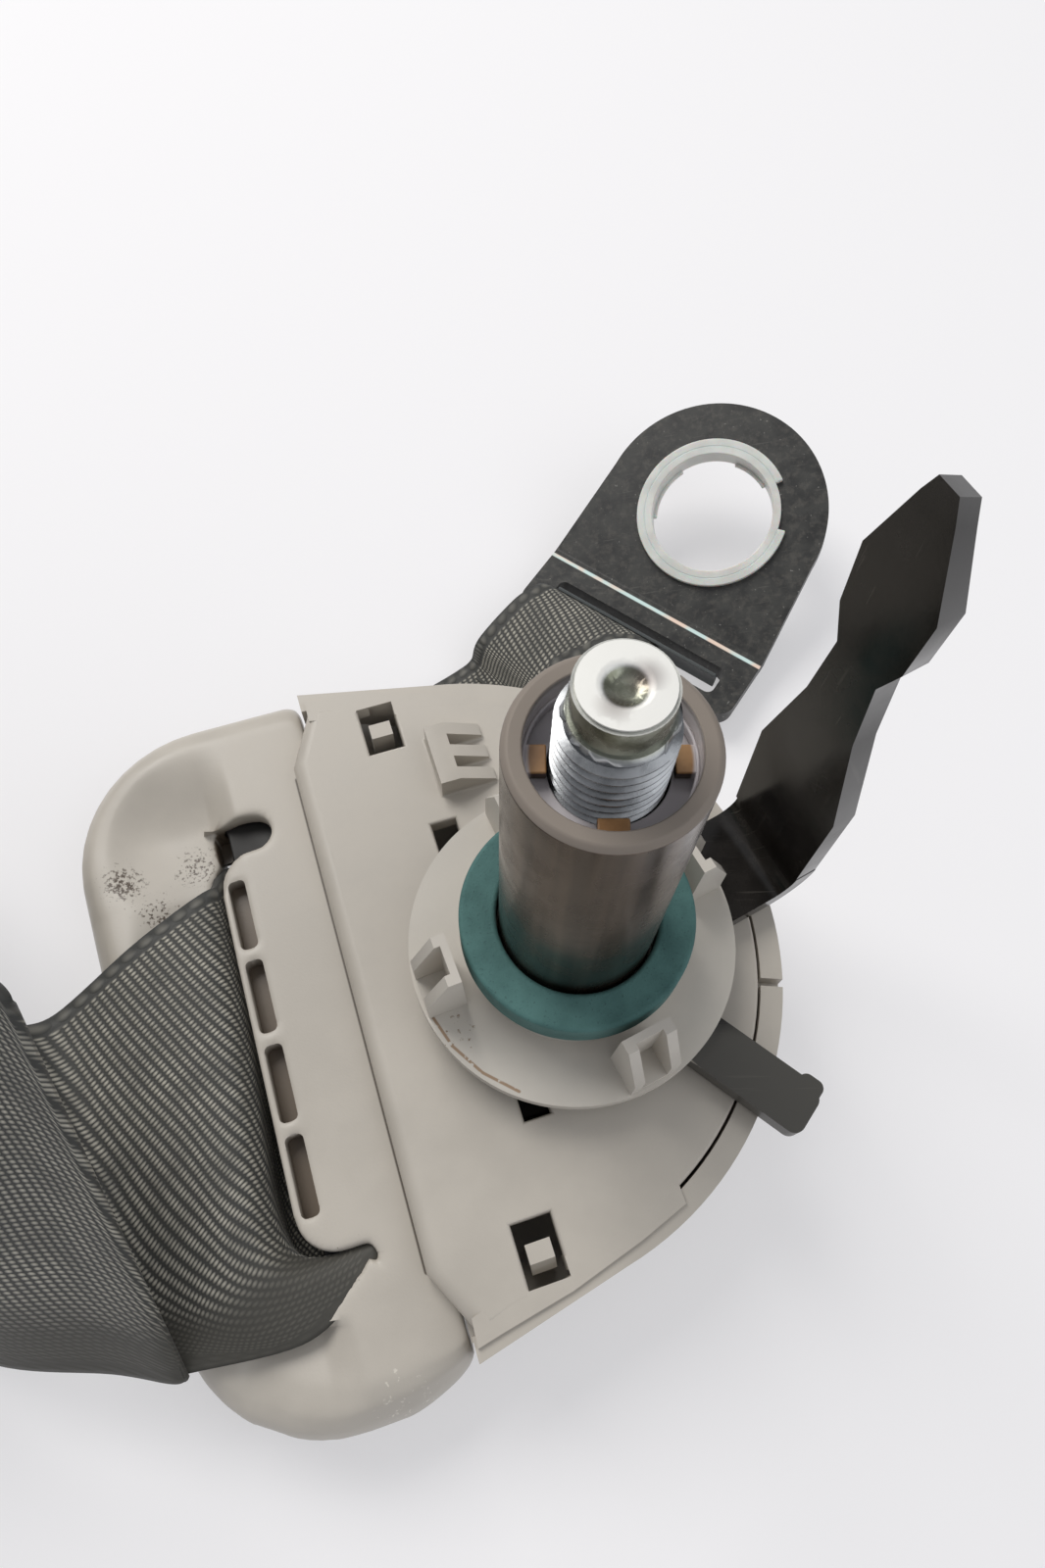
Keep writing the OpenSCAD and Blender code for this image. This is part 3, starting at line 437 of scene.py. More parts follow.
def make_finishes():
    stains = [dict(colour=BROWN_DIRT, at=(-59.6, 11.2, -62.8), reach=6, speck=0.55, cover=0.25),
              dict(colour=BROWN_DIRT, at=(-50.4, 14.2, -63.4), reach=7, speck=0.5, cover=0.23),
              dict(colour=BROWN_DIRT, at=(-54.6, 7.2, -63), reach=7, speck=0.5, cover=0.17),
              dict(colour=BROWN_DIRT, at=(-26, -36, -62), reach=8, speck=0.6, cover=0.07),
              dict(colour=PALE_SCUFF, at=(-20, -49, -65), reach=9, speck=0.8, cover=0.14)]
    seam = dict(colour=SEAM_SHADE, start=on_loop(STEP_X, -30, LOOP_TOP), end=on_loop(STEP_X, 36, LOOP_TOP),
                width=0.45, breaks=0.1)
    # The taupe hollow colour is painted shade for the loop's recesses and hooks.
    plain_plastic("cover_plastic", "pale_grey_cover_plastic", linear(192, 185, 174), 0.42, stains, [seam],
                  hollow_shade=linear(104, 91, 76))
    rim_r, rim_z, arc = 19.4, -52, 14
    scuffs = [dict(colour=RIM_SCUFF, start=on_rim(turn, rim_r, rim_z), end=on_rim(turn + arc, rim_r, rim_z),
                   width=0.26, breaks=0.44) for turn in range(194, 250, arc)]
    smudge = dict(colour=linear(130, 108, 84), at=(-14, -11, -52), reach=7, speck=0.7, cover=0.1)
    plain_plastic("clip_plastic", "light_grey_clip_plastic", linear(202, 196, 186), 0.5, [smudge], scuffs)
    nicks = [dict(colour=linear(34, 32, 26), width=0.4, breaks=0.1,
                  start=on_anchor(5.2, -5.9, -70.6), end=on_anchor(9.8, -5.9, -70.6)),
             dict(colour=linear(150, 134, 84), width=0.22, breaks=0.3,
                  start=on_anchor(5.2, -5.7, -71.2), end=on_anchor(9.8, -5.7, -71.2))]
    plain_plastic("guard_plastic", "smooth_grey_guard", linear(88, 92, 92), 0.38, marks=nicks)
    plain_plastic("tie_band", "dark_tie_band", linear(52, 52, 50), 0.6)
    plain_plastic("stitch_thread", "dark_thread", linear(66, 66, 62), 0.75)

    lugs = Finish("retainer_plastic", "tan_brown_retainer", grain=0.4, blotch=3.0)
    radius, height = lugs.radius_and_height()
    foot, top = RETAINER_Z
    # Painted shade: all but the top faces, that is the lugs' sides, take a dark brown.
    shaded_sides = spread(height, (top - 0.1) * mm, (top - 0.3) * mm)
    # Painted reflection: the ring and the floor under the lugs take the pale colour of the bright bore.
    ring = spread(radius, 6.5 * mm, 6.9 * mm)
    below = spread(height, (foot - 0.1) * mm, (foot - 0.3) * mm)
    tone = lugs.two_tones(linear(150, 110, 70), linear(182, 140, 94))
    tone = mix_colour(shaded_sides, tone, linear(58, 40, 26))
    tone = mix_colour(math_node("MAXIMUM", ring, below), tone, linear(206, 200, 202))
    lugs.feed("Base Color", tone)
    lugs.feed("Roughness", lugs.roughness(0.4, 0.55))
    lugs.bump(lugs.height, strength=0.1)

    nylon = Finish("bush_nylon", "white_bush_nylon", grain=0.5, blotch=5.0)
    nylon.feed("Base Color", nylon.two_tones(linear(206, 206, 200), linear(224, 224, 218)))
    nylon.set(roughness=0.32, subsurface_weight=0.25, subsurface_scale=0.002)
    nylon.bump(nylon.height, strength=0.08)

    zinc = Finish("bolt_zinc", "bright_bolt_zinc", grain=0.25, blotch=3.0)
    height = zinc.radius_and_height()[1]
    # Painted highlight: the tip face takes a near-white, rougher, less metallic finish, as the window's
    # reflection on it.
    tip_highlight = spread(height, 9.2 * mm, 9.45 * mm)
    pilot = times(spread(height, 5.6 * mm, 6.3 * mm), minus(1.0, tip_highlight))
    green = zinc.two_tones(linear(112, 114, 98), linear(160, 162, 148), 0.35, 0.65)
    tone = zinc.two_tones(linear(128, 130, 132), linear(170, 172, 174))
    tone = mix_colour(pilot, tone, green)
    tone = mix_colour(tip_highlight, tone, linear(236, 235, 230))
    for colour, at, cover, strength in ((linear(120, 106, 100), (-0.9, -1.7, 9.2), 0.5, 0.5),
                                        (linear(104, 88, 86), (1.5, 0.7, 9.2), 0.55, 0.6)):
        tone = zinc.patch(colour, tone, at, reach=2.0, speck=2.4, cover=cover, strength=strength)
    zinc.feed("Base Color", tone)
    zinc.feed("Roughness", math_node("ADD", zinc.roughness(0.2, 0.34, 0.25, 0.75), times(tip_highlight, 0.3)))
    zinc.feed("Metallic", minus(1.0, times(tip_highlight, 0.5)))
    zinc.bump(zinc.height, strength=0.1, distance=0.00005)

    steel = Finish("plate_steel", "stamped_plate_steel", grain=0.3, blotch=6.0)
    steel.feed("Base Color", mix_colour(steel.tone, linear(26, 25, 24), linear(38, 37, 36)))
    steel.feed("Roughness", steel.roughness(0.4, 0.55, 0.25, 0.75))
    steel.set(metallic=0.3)
    steel.bump(steel.height, strength=0.1, distance=0.00005)

    tube = Finish("sleeve_steel", "brown_sleeve_steel", grain=0.3, blotch=4.0)
    drawn = add_node(tube.tree, "ShaderNodeMapping", {"Vector": tube.position, "Scale": (1.0, 1.0, 0.04)})
    streaks = noise(drawn.outputs[0], 500.0, 2.0)
    radius, height = tube.radius_and_height()
    end_face = times(spread(height, -0.62 * mm, -0.5 * mm),
                     spread(radius, (SLEEVE_BORE_R - 0.1) * mm, (SLEEVE_BORE_R + 0.1) * mm))
    # The bore's wall takes a pale, nearly matt colour: partly its plating, partly a painted reflection of the
    # sky.
    bore = spread(radius, (SLEEVE_BORE_R + 0.1) * mm, (SLEEVE_BORE_R + 0.02) * mm)
    tone = mix_colour(spread(streaks, 0.35, 0.68), linear(66, 54, 44), linear(92, 78, 66))
    tone = mix_colour(bore, tone, linear(216, 210, 208))
    tube.feed("Base Color", mix_colour(end_face, tone, linear(136, 126, 116)))
    tube.feed("Roughness", mix_values(end_face, tube.roughness(0.2, 0.3), 0.62))
    tube.feed("Metallic", mix_values(math_node("MAXIMUM", end_face, bore), 0.9, 0.15))
    tube.bump(streaks, strength=0.05)

    foam = Finish("seal_foam", "teal_seal_foam", grain=0.28, blotch=5.0)
    tone = foam.two_tones(linear(60, 97, 94), linear(78, 118, 114))
    pores = spread(foam.height, 0.62, 0.72, 0.0, 0.5)
    foam.feed("Base Color", mix_colour(pores, tone, linear(36, 62, 62)))
    foam.set(roughness=0.78)
    foam.bump(foam.height, strength=0.35, distance=0.0002)

    black = Finish("bracket_black", "glossy_black_bracket_coat", grain=0.6, blotch=6.0)
    worn = use_group(scratch_group, {"Position": black.position, "Scale": 120.0, "Amount": 0.18})
    tone = black.two_tones(linear(22, 20, 18), linear(33, 30, 27))
    split = add_node(black.tree, "ShaderNodeSeparateXYZ", {0: black.position}).outputs
    tab = times(spread(split["Y"], -9 * mm, -12 * mm), spread(split["Z"], -50 * mm, -52 * mm))
    tone = mix_colour(tab, tone, linear(74, 72, 67))
    tone = mix_colour(worn["Mask"], tone, linear(104, 100, 92))
    # Pale line along the arm's bend: painted highlight, broken up like wear.
    tone = black.line(linear(176, 170, 158), tone, (13.6, -14.9, BRACKET_TOP), (22.4, -23.4, BRACKET_TOP),
                      width=0.7, breaks=0.42)
    black.feed("Base Color", tone)
    black.feed("Roughness", mix_values(tab, black.roughness(0.16, 0.28), 0.42))
    black.set(coat_weight=0.12, coat_roughness=0.15, specular_ior_level=0.35)
    black.bump(black.height, strength=0.06)

    plate = Finish("anchor_black", "speckled_black_anchor_coat", grain=0.5, blotch=3.0)
    worn = use_group(scratch_group, {"Position": plate.position, "Scale": 150.0, "Amount": 0.25})
    mottle = spread(noise(plate.position, 900.0, 4.0, 0.7), 0.46, 0.66)
    specks = spread(noise(plate.position, 1500.0, 2.0), 0.69, 0.77)
    tone = plate.two_tones(linear(40, 40, 39), linear(54, 54, 51))
    tone = mix_colour(times(mottle, 0.4), tone, linear(88, 84, 78))
    tone = mix_colour(worn["Mask"], tone, linear(108, 106, 100))
    tone = mix_colour(times(specks, 0.6), tone, linear(150, 148, 142))
    # Bright, slightly iridescent line along the fold: painted highlight, partly the coat worn at the bend.
    fold_highlight = mix_colour(spread(noise(plate.position, 260.0, 1.0), 0.4, 0.6),
                       linear(240, 214, 196), linear(208, 230, 226))
    fold_x, fold_y, fold_z = 19.8, -0.95, ANCHOR_MID + ANCHOR_T / 2
    tone = plate.line(fold_highlight, tone, on_anchor(-fold_x, fold_y, fold_z), on_anchor(fold_x, fold_y, fold_z),
                      width=0.42, breaks=0.2)
    plate.feed("Base Color", tone)
    plate.feed("Roughness", plate.roughness(0.34, 0.5))
    plate.bump(plate.height, strength=0.12)

    cloth = Finish("webbing", "woven_grey_webbing")
    weave = use_group(weave_group, {"UV": cloth.uv, "Edge": cloth.attribute("edge")})
    # Where quiet is 1, on the strap's turned-down part, the painted float highlights and the bumps fade:
    # painted shade, and softer for blur.
    quiet = cloth.attribute("quiet")
    shown = times(weave["Float"], spread(quiet, 0.0, 1.0, 1.0, 0.1))
    raised = times(weave["Height"], spread(quiet, 0.0, 1.0, 1.0, 0.15))
    tone = mix_colour(quiet, linear(54, 54, 51), linear(62, 60, 54))
    # Float tops painted light grey-beige: painted highlights on the dark strap.
    cloth.feed("Base Color", mix_colour(shown, tone, linear(190, 185, 171)))
    cloth.set(roughness=0.6, sheen_weight=0.1)
    cloth.bump(raised, strength=0.5, distance=0.0003)


make_finishes()


# Piece helpers

def show(name, bm, node, smooth=40.0, weighted=True):
    """Puts a finished mesh in the scene in place of the node, on its body and with its finish."""
    mesh = finished_mesh(name, bm)
    if "custom_normal" in mesh.attributes:
        mesh.attributes.remove(mesh.attributes["custom_normal"])
    mesh.shade_smooth()
    mesh.set_sharp_from_angle(angle=math.radians(smooth))
    mesh.materials.append(finishes[slot_of[node]])
    piece = put(name, mesh)
    if weighted:
        normals = piece.modifiers.new("even_shading", "WEIGHTED_NORMAL")
        normals.keep_sharp = True
    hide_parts(node)
    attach(piece, cad[node]["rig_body"])
    return piece


def merged_copy(node):
    """The node's triangles joined up, with each flat face in one piece."""
    bm = bmesh.new()
    bm.from_mesh(cad[node].data)
    bmesh.ops.remove_doubles(bm, verts=bm.verts, dist=0.002 * mm)
    bmesh.ops.dissolve_limit(bm, angle_limit=math.radians(0.4), verts=bm.verts, edges=bm.edges)
    return bm


def sharp_edges(bm, over=30.0):
    return [edge for edge in bm.edges if edge.is_manifold and edge.calc_face_angle() > math.radians(over)]


def bevel(bm, edges, width, segments, clamp=True):
    """Rounds these edges. Width is in millimetres."""
    bmesh.ops.bevel(bm, geom=edges, offset=width * mm, offset_type="OFFSET", segments=segments, profile=0.5,
                    affect="EDGES", clamp_overlap=clamp, material=-1)


def round_edges(bm, width, segments=3):
    bevel(bm, sharp_edges(bm), width, segments)


def turn_mesh(bm, angle):
    bmesh.ops.rotate(bm, cent=(0, 0, 0), matrix=Matrix.Rotation(angle, 3, "Z"), verts=bm.verts)


def turn_about_z(angle):
    return Matrix.Rotation(angle, 4, "Z")


def move_by(x, y, z):
    """The move by these millimetres."""
    return Matrix.Translation(Vector((x, y, z)) * mm)


def add_box(bm, place, size):
    """A box of this size in millimetres, moved to its place. Gives its vertices."""
    whole = place @ Matrix.Diagonal((*(Vector(size) * mm), 1.0))
    return bmesh.ops.create_cube(bm, size=1.0, matrix=whole)["verts"]


def only_verts(items):
    return [item for item in items if isinstance(item, bmesh.types.BMVert)]


def modified(bm, name, kind, settings, cutter=None):
    """The mesh with one modifier applied, and the cutter's mesh as its other object."""
    helpers = []
    for mesh_name, source in ((name, bm), (name + "_cutter", cutter)):
        if source is not None:
            helpers.append(put(mesh_name, finished_mesh(mesh_name, source)))
    step = helpers[0].modifiers.new(name, kind)
    for key, value in settings.items():
        setattr(step, key, value)
    if cutter is not None:
        step.object = helpers[1]
    ready = helpers[0].evaluated_get(bpy.context.evaluated_depsgraph_get())
    result = bmesh.new()
    result.from_mesh(ready.to_mesh())
    ready.to_mesh_clear()
    for helper in helpers:
        mesh = helper.data
        bpy.data.objects.remove(helper)
        bpy.data.meshes.remove(mesh)
    return result


def spin_profile(bm, profile, start=0.0, sweep=360.0, steps=96):
    """Turns a closed outline of radius and height round the z axis, in millimetres and degrees."""
    angle = math.radians(start)
    ring = [bm.verts.new(Vector((r * math.cos(angle), r * math.sin(angle), z)) * mm) for r, z in profile]
    cap = bm.faces.new(ring)
    whole = sweep == 360.0
    made = bmesh.ops.spin(bm, geom=ring + list(cap.edges), cent=(0, 0, 0), axis=(0, 0, 1),
                          angle=math.radians(sweep), steps=steps, use_merge=whole)
    if whole:
        bmesh.ops.delete(bm, geom=[cap], context="FACES_ONLY")
    else:
        bm.faces.new(only_verts(made["geom_last"]))
    bmesh.ops.remove_doubles(bm, verts=bm.verts, dist=1e-7)
    bmesh.ops.recalc_face_normals(bm, faces=bm.faces)


def shift_clips(bm):
    """Turns each clip a little round the disc, to its own uneven place."""
    first, gap, hold = 30, 90, 13
    shifts = (-2, -6, -9, -3, -2)
    for vert in bm.verts:
        angle = (math.degrees(math.atan2(vert.co.y, vert.co.x)) - first) % 360
        clip = min(3, int(angle // gap))
        share = held((angle - clip * gap - hold) / (gap - 2 * hold))
        shift = shifts[clip] + (shifts[clip + 1] - shifts[clip]) * share
        vert.co.xy = turned(vert.co.x, vert.co.y, math.radians(shift))


def add_rounded_pieces():
    """Pieces whose solid has nearly the right shape, with their edges broken."""
    widths = {"front_cover": 0.5, "bolt_cap": 0.4, "clip_ring": 0.28, "spacer_sleeve": 0.2,
              "seal_washer": 0.6, "loop_plate": 0.3, "pivot_bush": 0.15, "friction_washer": 0.1,
              "wave_washer": 0.1, "roll_tie": 0.08}
    ledge_at, ledge_size = (-20.5, -37.2, -62.8), (8.6, 3.0, 1.8)
    for node, width in widths.items():
        bm = merged_copy(node)
        if node == "front_cover":
            add_box(bm, turn_about_z(LOOP_TURN) @ move_by(*ledge_at), ledge_size)
            for vert in bm.verts:
                if abs(vert.co.z - RIM_TOP * mm) < 0.05 * mm:
                    vert.co.z += RIM_LIFT * mm
        if node == "clip_ring":
            shift_clips(bm)
        round_edges(bm, width)
        show(node + "_rounded", bm, node)


def add_rear_cover():
    """The rear cover: a broad round along its step, a shorter rib, a moved hole and margins over the rim."""
    rib_x, rib_y, rib_share = (-9.3, -1.5), (RIB_LOW_Y - 0.1, RIB_LOW_Y + 10.8), 0.82
    pocket_x, pocket_shift = -7.6, 1.1
    hole_x, hole_y, hole_shift = (-12, -8.4), (19.7, 24.5), 2.2
    step_x, step_round = -23.9, 2.1
    lip_round, hair = 0.4, 0.01
    bm = merged_copy("rear_cover")
    turn_mesh(bm, -LOOP_TURN)
    for vert in bm.verts:
        x, y, z = vert.co / mm
        if z > REAR_TOP - hair and rib_x[0] < x < rib_x[1] and rib_y[0] < y < rib_y[1]:
            vert.co.y = (RIB_LOW_Y + (y - RIB_LOW_Y) * rib_share) * mm
            if abs(x - pocket_x) < 0.1:
                vert.co.x += pocket_shift * mm
        if hole_x[0] < x < hole_x[1] and hole_y[0] < y < hole_y[1]:
            vert.co.y -= hole_shift * mm
    step = [edge for edge in sharp_edges(bm)
            if all(vert.co.z > (REAR_TOP - hair) * mm and vert.co.x < step_x * mm for vert in edge.verts)]
    bevel(bm, step, step_round, 7, clamp=False)
    lip = [edge for edge in sharp_edges(bm)
           if all(abs(vert.co.z - REAR_TOP * mm) < hair * mm for vert in edge.verts)]
    bevel(bm, lip, lip_round, 3, clamp=False)
    low, high = RIM_TOP + RIM_LIFT + 0.05, REAR_TOP - 0.02
    for outline in (MARGIN_LOW, MARGIN_TOP):
        face = bm.faces.new([bm.verts.new(Vector((x, y, low)) * mm) for x, y in outline])
        made = bmesh.ops.extrude_face_region(bm, geom=[face])["geom"]
        bmesh.ops.translate(bm, vec=(0, 0, (high - low) * mm), verts=only_verts(made))
    bmesh.ops.recalc_face_normals(bm, faces=bm.faces)
    turn_mesh(bm, LOOP_TURN)
    show("rear_cover_rounded", bm, "rear_cover")


def add_bracket():
    """The bracket with a shorter, aslant end on its barbed arm."""
    end_above, shorter, fall = 10, 2.6, math.tan(math.radians(30))
    bm = merged_copy("locating_bracket")
    for vert in bm.verts:
        if vert.co.z > end_above * mm:
            out = turned(vert.co.x / mm, vert.co.y / mm, -ARM_TURN)[0] - ARM_REACH
            vert.co.z -= (shorter + fall * out) * mm
    round_edges(bm, 0.5)
    show("locating_bracket_rounded", bm, "locating_bracket")


def add_anchor():
    """The lap anchor's plate with its slot, the guard in it, and the bush with its flange and inner lips."""
    slot_half, slot_low, slot_wider = 15.8, (-8.7, -7.2), 1.2
    bm = merged_copy("anchor_plate")
    for vert in bm.verts:
        x, y = turned(vert.co.x / mm - ANCHOR_AT[0], vert.co.y / mm - ANCHOR_AT[1], -ANCHOR_TURN)
        if abs(x) < slot_half and slot_low[0] < y < slot_low[1]:
            vert.co.xy = Vector(turned(x, y - slot_wider, ANCHOR_TURN, ANCHOR_AT)) * mm
    round_edges(bm, 0.4)
    show("anchor_plate_rounded", bm, "anchor_plate")

    bm = merged_copy("wear_guard")
    tilt = math.radians(42)
    across = on_anchor(0, -math.sin(tilt), 0) - on_anchor(0, 0, 0) + Vector((0, 0, math.cos(tilt)))
    made = bmesh.ops.bisect_plane(bm, geom=[*bm.verts, *bm.edges, *bm.faces], dist=1e-7, clear_outer=True,
                                  plane_co=on_anchor(0, BAR_MID_Y, ANCHOR_MID) * mm, plane_no=across)
    cut = [item for item in made["geom_cut"] if isinstance(item, bmesh.types.BMEdge)]
    bmesh.ops.holes_fill(bm, edges=cut)
    round_edges(bm, 0.15)
    show("wear_guard_band", bm, "wear_guard")

    bm = bmesh.new()
    flange_z = ANCHOR_T + 0.9
    bore_r, wall_r, flange_r, lip_r = 9.7, 11.0, 12.2, 9.2
    notch_end, flange_sweep = 53, 320
    spin_profile(bm, [(bore_r, 0.0), (wall_r, 0.0), (wall_r, flange_z), (bore_r, flange_z)])
    flange = [(wall_r - 0.1, ANCHOR_T), (flange_r, ANCHOR_T), (flange_r, flange_z), (wall_r - 0.1, flange_z)]
    spin_profile(bm, flange, notch_end, flange_sweep)
    lip = [(lip_r, 0.1), (bore_r + 0.1, 0.1), (bore_r + 0.1, 0.9), (lip_r, 0.9)]
    for start, sweep in ((60, 38), (152, 56)):
        spin_profile(bm, lip, start, sweep, 16)
    round_edges(bm, 0.18)
    eye = (move_by(*ANCHOR_AT, ANCHOR_MID + ANCHOR_T / 2 + ANCHOR_FOLD) @ turn_about_z(ANCHOR_TURN)
           @ Matrix.Rotation(EYE_TILT, 4, "X") @ move_by(0, EYE_REACH, -ANCHOR_T - ANCHOR_FOLD))
    bmesh.ops.transform(bm, matrix=eye, verts=bm.verts)
    show("anchor_bush_flanged", bm, "anchor_bush")


def add_retainer():
    """Thin ring in the sleeve's end, with four lugs towards the bolt and a floor under them; the finish paints
    the ring and floor pale, as a painted reflection.
    """
    low, high = RETAINER_Z
    floor_low, floor_high = -4.4, -3.9
    ring_r, floor_r = 6.9, BOLT_R + 0.15
    lug_from, lug_to, lug_wide = BOLT_R + 0.2, 6.95, 2.6
    bm = bmesh.new()
    spin_profile(bm, [(ring_r, low), (SLEEVE_BORE_R, low), (SLEEVE_BORE_R, high), (ring_r, high)])
    for turn in (-90, 0, 90, 180):
        place = turn_about_z(math.radians(turn)) @ move_by((lug_from + lug_to) / 2, 0, (low + high) / 2)
        add_box(bm, place, (lug_to - lug_from, lug_wide, high - low))
    spin_profile(bm, [(floor_r, floor_low), (SLEEVE_BORE_R, floor_low),
                      (SLEEVE_BORE_R, floor_high), (floor_r, floor_high)])
    round_edges(bm, 0.2)
    show("bolt_retainer_lugged", bm, "bolt_retainer")


# Webbing

def webbing_stations():
    """Far edge, knee and near edge of the strap, from its sewn lap to the roll, in millimetres."""
    flat_z = TABLE_Z + 0.1 + WEBBING_T / 2
    lap_z = flat_z + WEBBING_T + 0.15
    over_loop = LOOP_TOP + 0.3 + WEBBING_T / 2
    gather = 0.31 * WEBBING_W

    def bunched(spare, near, y, z):
        return [on_anchor(-gather - spare, y, z), on_anchor(near, y, z)]

    lead_far, lead_near = (-13.2, 53.6), (16.6, 27.5)
    run = [((*LAP_FAR, lap_z), (*LAP_NEAR, lap_z)),
           ((-15.8, 51.8, lap_z), (15.3, 23.5, lap_z)),
           ((*lead_far, lap_z + 1.2), (*lead_near, lap_z + 1.2)),
           bunched(5.5, -5.0, -21.5, ANCHOR_MID + 1.2),
           bunched(4.2, -2.7, BAR_MID_Y - 3, ANCHOR_MID + LOOP_R - 0.2)]
    for turn in range(90, -91, -30):
        angle = math.radians(turn)
        run.append(bunched(3.0 * max(0.0, math.sin(angle)), -0.5 + 4.5 * math.cos(angle),
                           BAR_MID_Y + LOOP_R * math.cos(angle), ANCHOR_MID + LOOP_R * math.sin(angle)))
    run += [bunched(1.0, -2.7, BAR_MID_Y - 3, (ANCHOR_MID - LOOP_R + flat_z) / 2),
            bunched(3.0, -5.0, -21.5, flat_z),
            ((*lead_far, flat_z), (*lead_near, flat_z)),
            ((*LAP_FAR, flat_z), (*LAP_NEAR, flat_z))]
    through = [((14, 36, flat_z), (18, -24, flat_z)),
               ((6.5, 34, flat_z + 0.9), (5, -29.5, flat_z + 0.9)),
               ((5.0, 31.0, LOOP_Z), (0.9, -22, LOOP_Z), (10.2, -27.4, LOOP_Z)),
               ((3.2, 28.0, PLATE_MID), (1.0, -22, PLATE_MID), (11.6, -26, PLATE_MID)),
               ((2.3, 24.6, LOOP_TOP - 1.6), (0.9, -22.5, LOOP_TOP - 1.6), (12.0, -25.3, LOOP_TOP - 2.0)),
               ((1.2, 23.2, over_loop - 0.2), (-0.8, -23.5, over_loop - 0.2), (11.4, -27.2, LOOP_TOP - 1.4)),
               ((-3.6, 20.8, over_loop + 0.6), (-3.4, -24.6, over_loop + 0.3), (7.6, -30.2, LOOP_TOP - 0.9)),
               ((-9.2, 18.2, over_loop + 0.4), (-6.7, -26.2, over_loop), (1.2, -32.8, LOOP_TOP - 0.6))]
    run += [[on_loop(SLOT_MID + x, y, z) for x, y, z in points] for points in through]
    folds = [((-64.8, -6.9, 16.4), (-43.5, -47, 15.8)), ((-68.5, -9.5, 20), (-45, -47.2, 14.9)),
             ((-67.5, -12, 28.5), (-44.9, -47.3, 15.4)), ((-62.8, -14, 38), (-44.5, -47.4, 15.9)),
             ((-57.8, -15, 45.5), (-44.1, -47.45, 16.3)), ((-55.6, -14, 50), (-43.9, -47.5, 16.6)),
             ((-57.2, -11.8, 52), (-45.3, -47.5, 16.8)), ((-61.5, -10.6, 52.5), (-52, -46.6, 15.3)),
             ((-68, -12.5, 51.5), (-65, -46, 12)), ((-77, -17, 50), (-78, -43, 6.5)),
             ((-89, -22, 49), (-92, -37, 2.6))]
    run += [[(x, y, z + TABLE_Z) for x, y, z in pair] for pair in folds]
    lay_r = ROLL_R + WEBBING_T / 2 + 0.1
    x, y = ROLL_AT
    run += [((-103, y - lay_r + 0.6, ROLL_Z + WEBBING_W), (-108, y - lay_r - 2.6, ROLL_Z)),
            ((x, y - lay_r, ROLL_Z + WEBBING_W), (x, y - lay_r, ROLL_Z))]
    stations = []
    for points in run:
        points = [Vector(point) for point in points]
        far, near = points[0], points[-1]
        stations.append((far, points[1] if len(points) == 3 else far.lerp(near, 0.84), near))
    return stations


def smooth_line(points, steps):
    """A smooth curve through the points, with this many short steps for each of them."""
    last = len(points) - 1
    line = []
    for i in range(last):
        a, b, c, d = points[max(i - 1, 0)], points[i], points[i + 1], points[min(i + 2, last)]
        for k in range(steps):
            t = k / steps
            line.append(0.5 * (2 * b + (c - a) * t + (2 * a - 5 * b + 4 * c - d) * t ** 2
                               + (3 * b - a - 3 * c + d) * t ** 3))
    return line + [points[last]]


def strap_mesh(sections, quiet, own=None, slant=0.0):
    """A sheet through cross sections, with a UV map and the distance from the nearer edge in millimetres.

    Where own is 1, each lengthwise line counts its own length, and where it is 0 the middle line's.
    The slant leans the weave's cross rows, as a share of the width.
    """
    quiet_from, quiet_fade = 0.6, 0.14
    bm = bmesh.new()
    uv = bm.loops.layers.uv.new("weave")
    edge_layer = bm.verts.layers.float.new("edge")
    quiet_layer = bm.verts.layers.float.new("quiet")
    last, wide = len(sections) - 1, len(sections[0]) - 1
    bmesh.ops.create_grid(bm, x_segments=last, y_segments=wide, size=1.0)
    length = 0.0
    along = [[0.0] * (wide + 1)]
    across = []
    for i, section in enumerate(sections):
        reached = [0.0]
        for k in range(wide):
            reached.append(reached[-1] + (section[k + 1] - section[k]).length)
        across.append(reached)
        if i < last:
            steps = [(after - before).length for before, after in zip(section, sections[i + 1])]
            middle = steps[wide // 2]
            share = own[i] if own else 0.0
            along.append([gone + middle + share * (step - middle) for gone, step in zip(along[i], steps)])
            length += middle
    place = {}
    for vert in bm.verts:
        i, k = round((vert.co.x + 1) / 2 * last), round((vert.co.y + 1) / 2 * wide)
        place[vert] = (along[i][k] + slant * across[i][k], across[i][k])
        vert[edge_layer] = min(across[i][k], across[i][wide] - across[i][k])
        vert[quiet_layer] = quiet[i] * held((k / wide - quiet_from) / quiet_fade)
        vert.co = sections[i][k] * mm
    for face in bm.faces:
        for loop in face.loops:
            loop[uv].uv = place[loop.vert]
    return bm, length


def thicken(piece, thickness):
    wall = piece.modifiers.new("strap_thickness", "SOLIDIFY")
    wall.thickness = thickness * mm
    wall.offset = 0.0


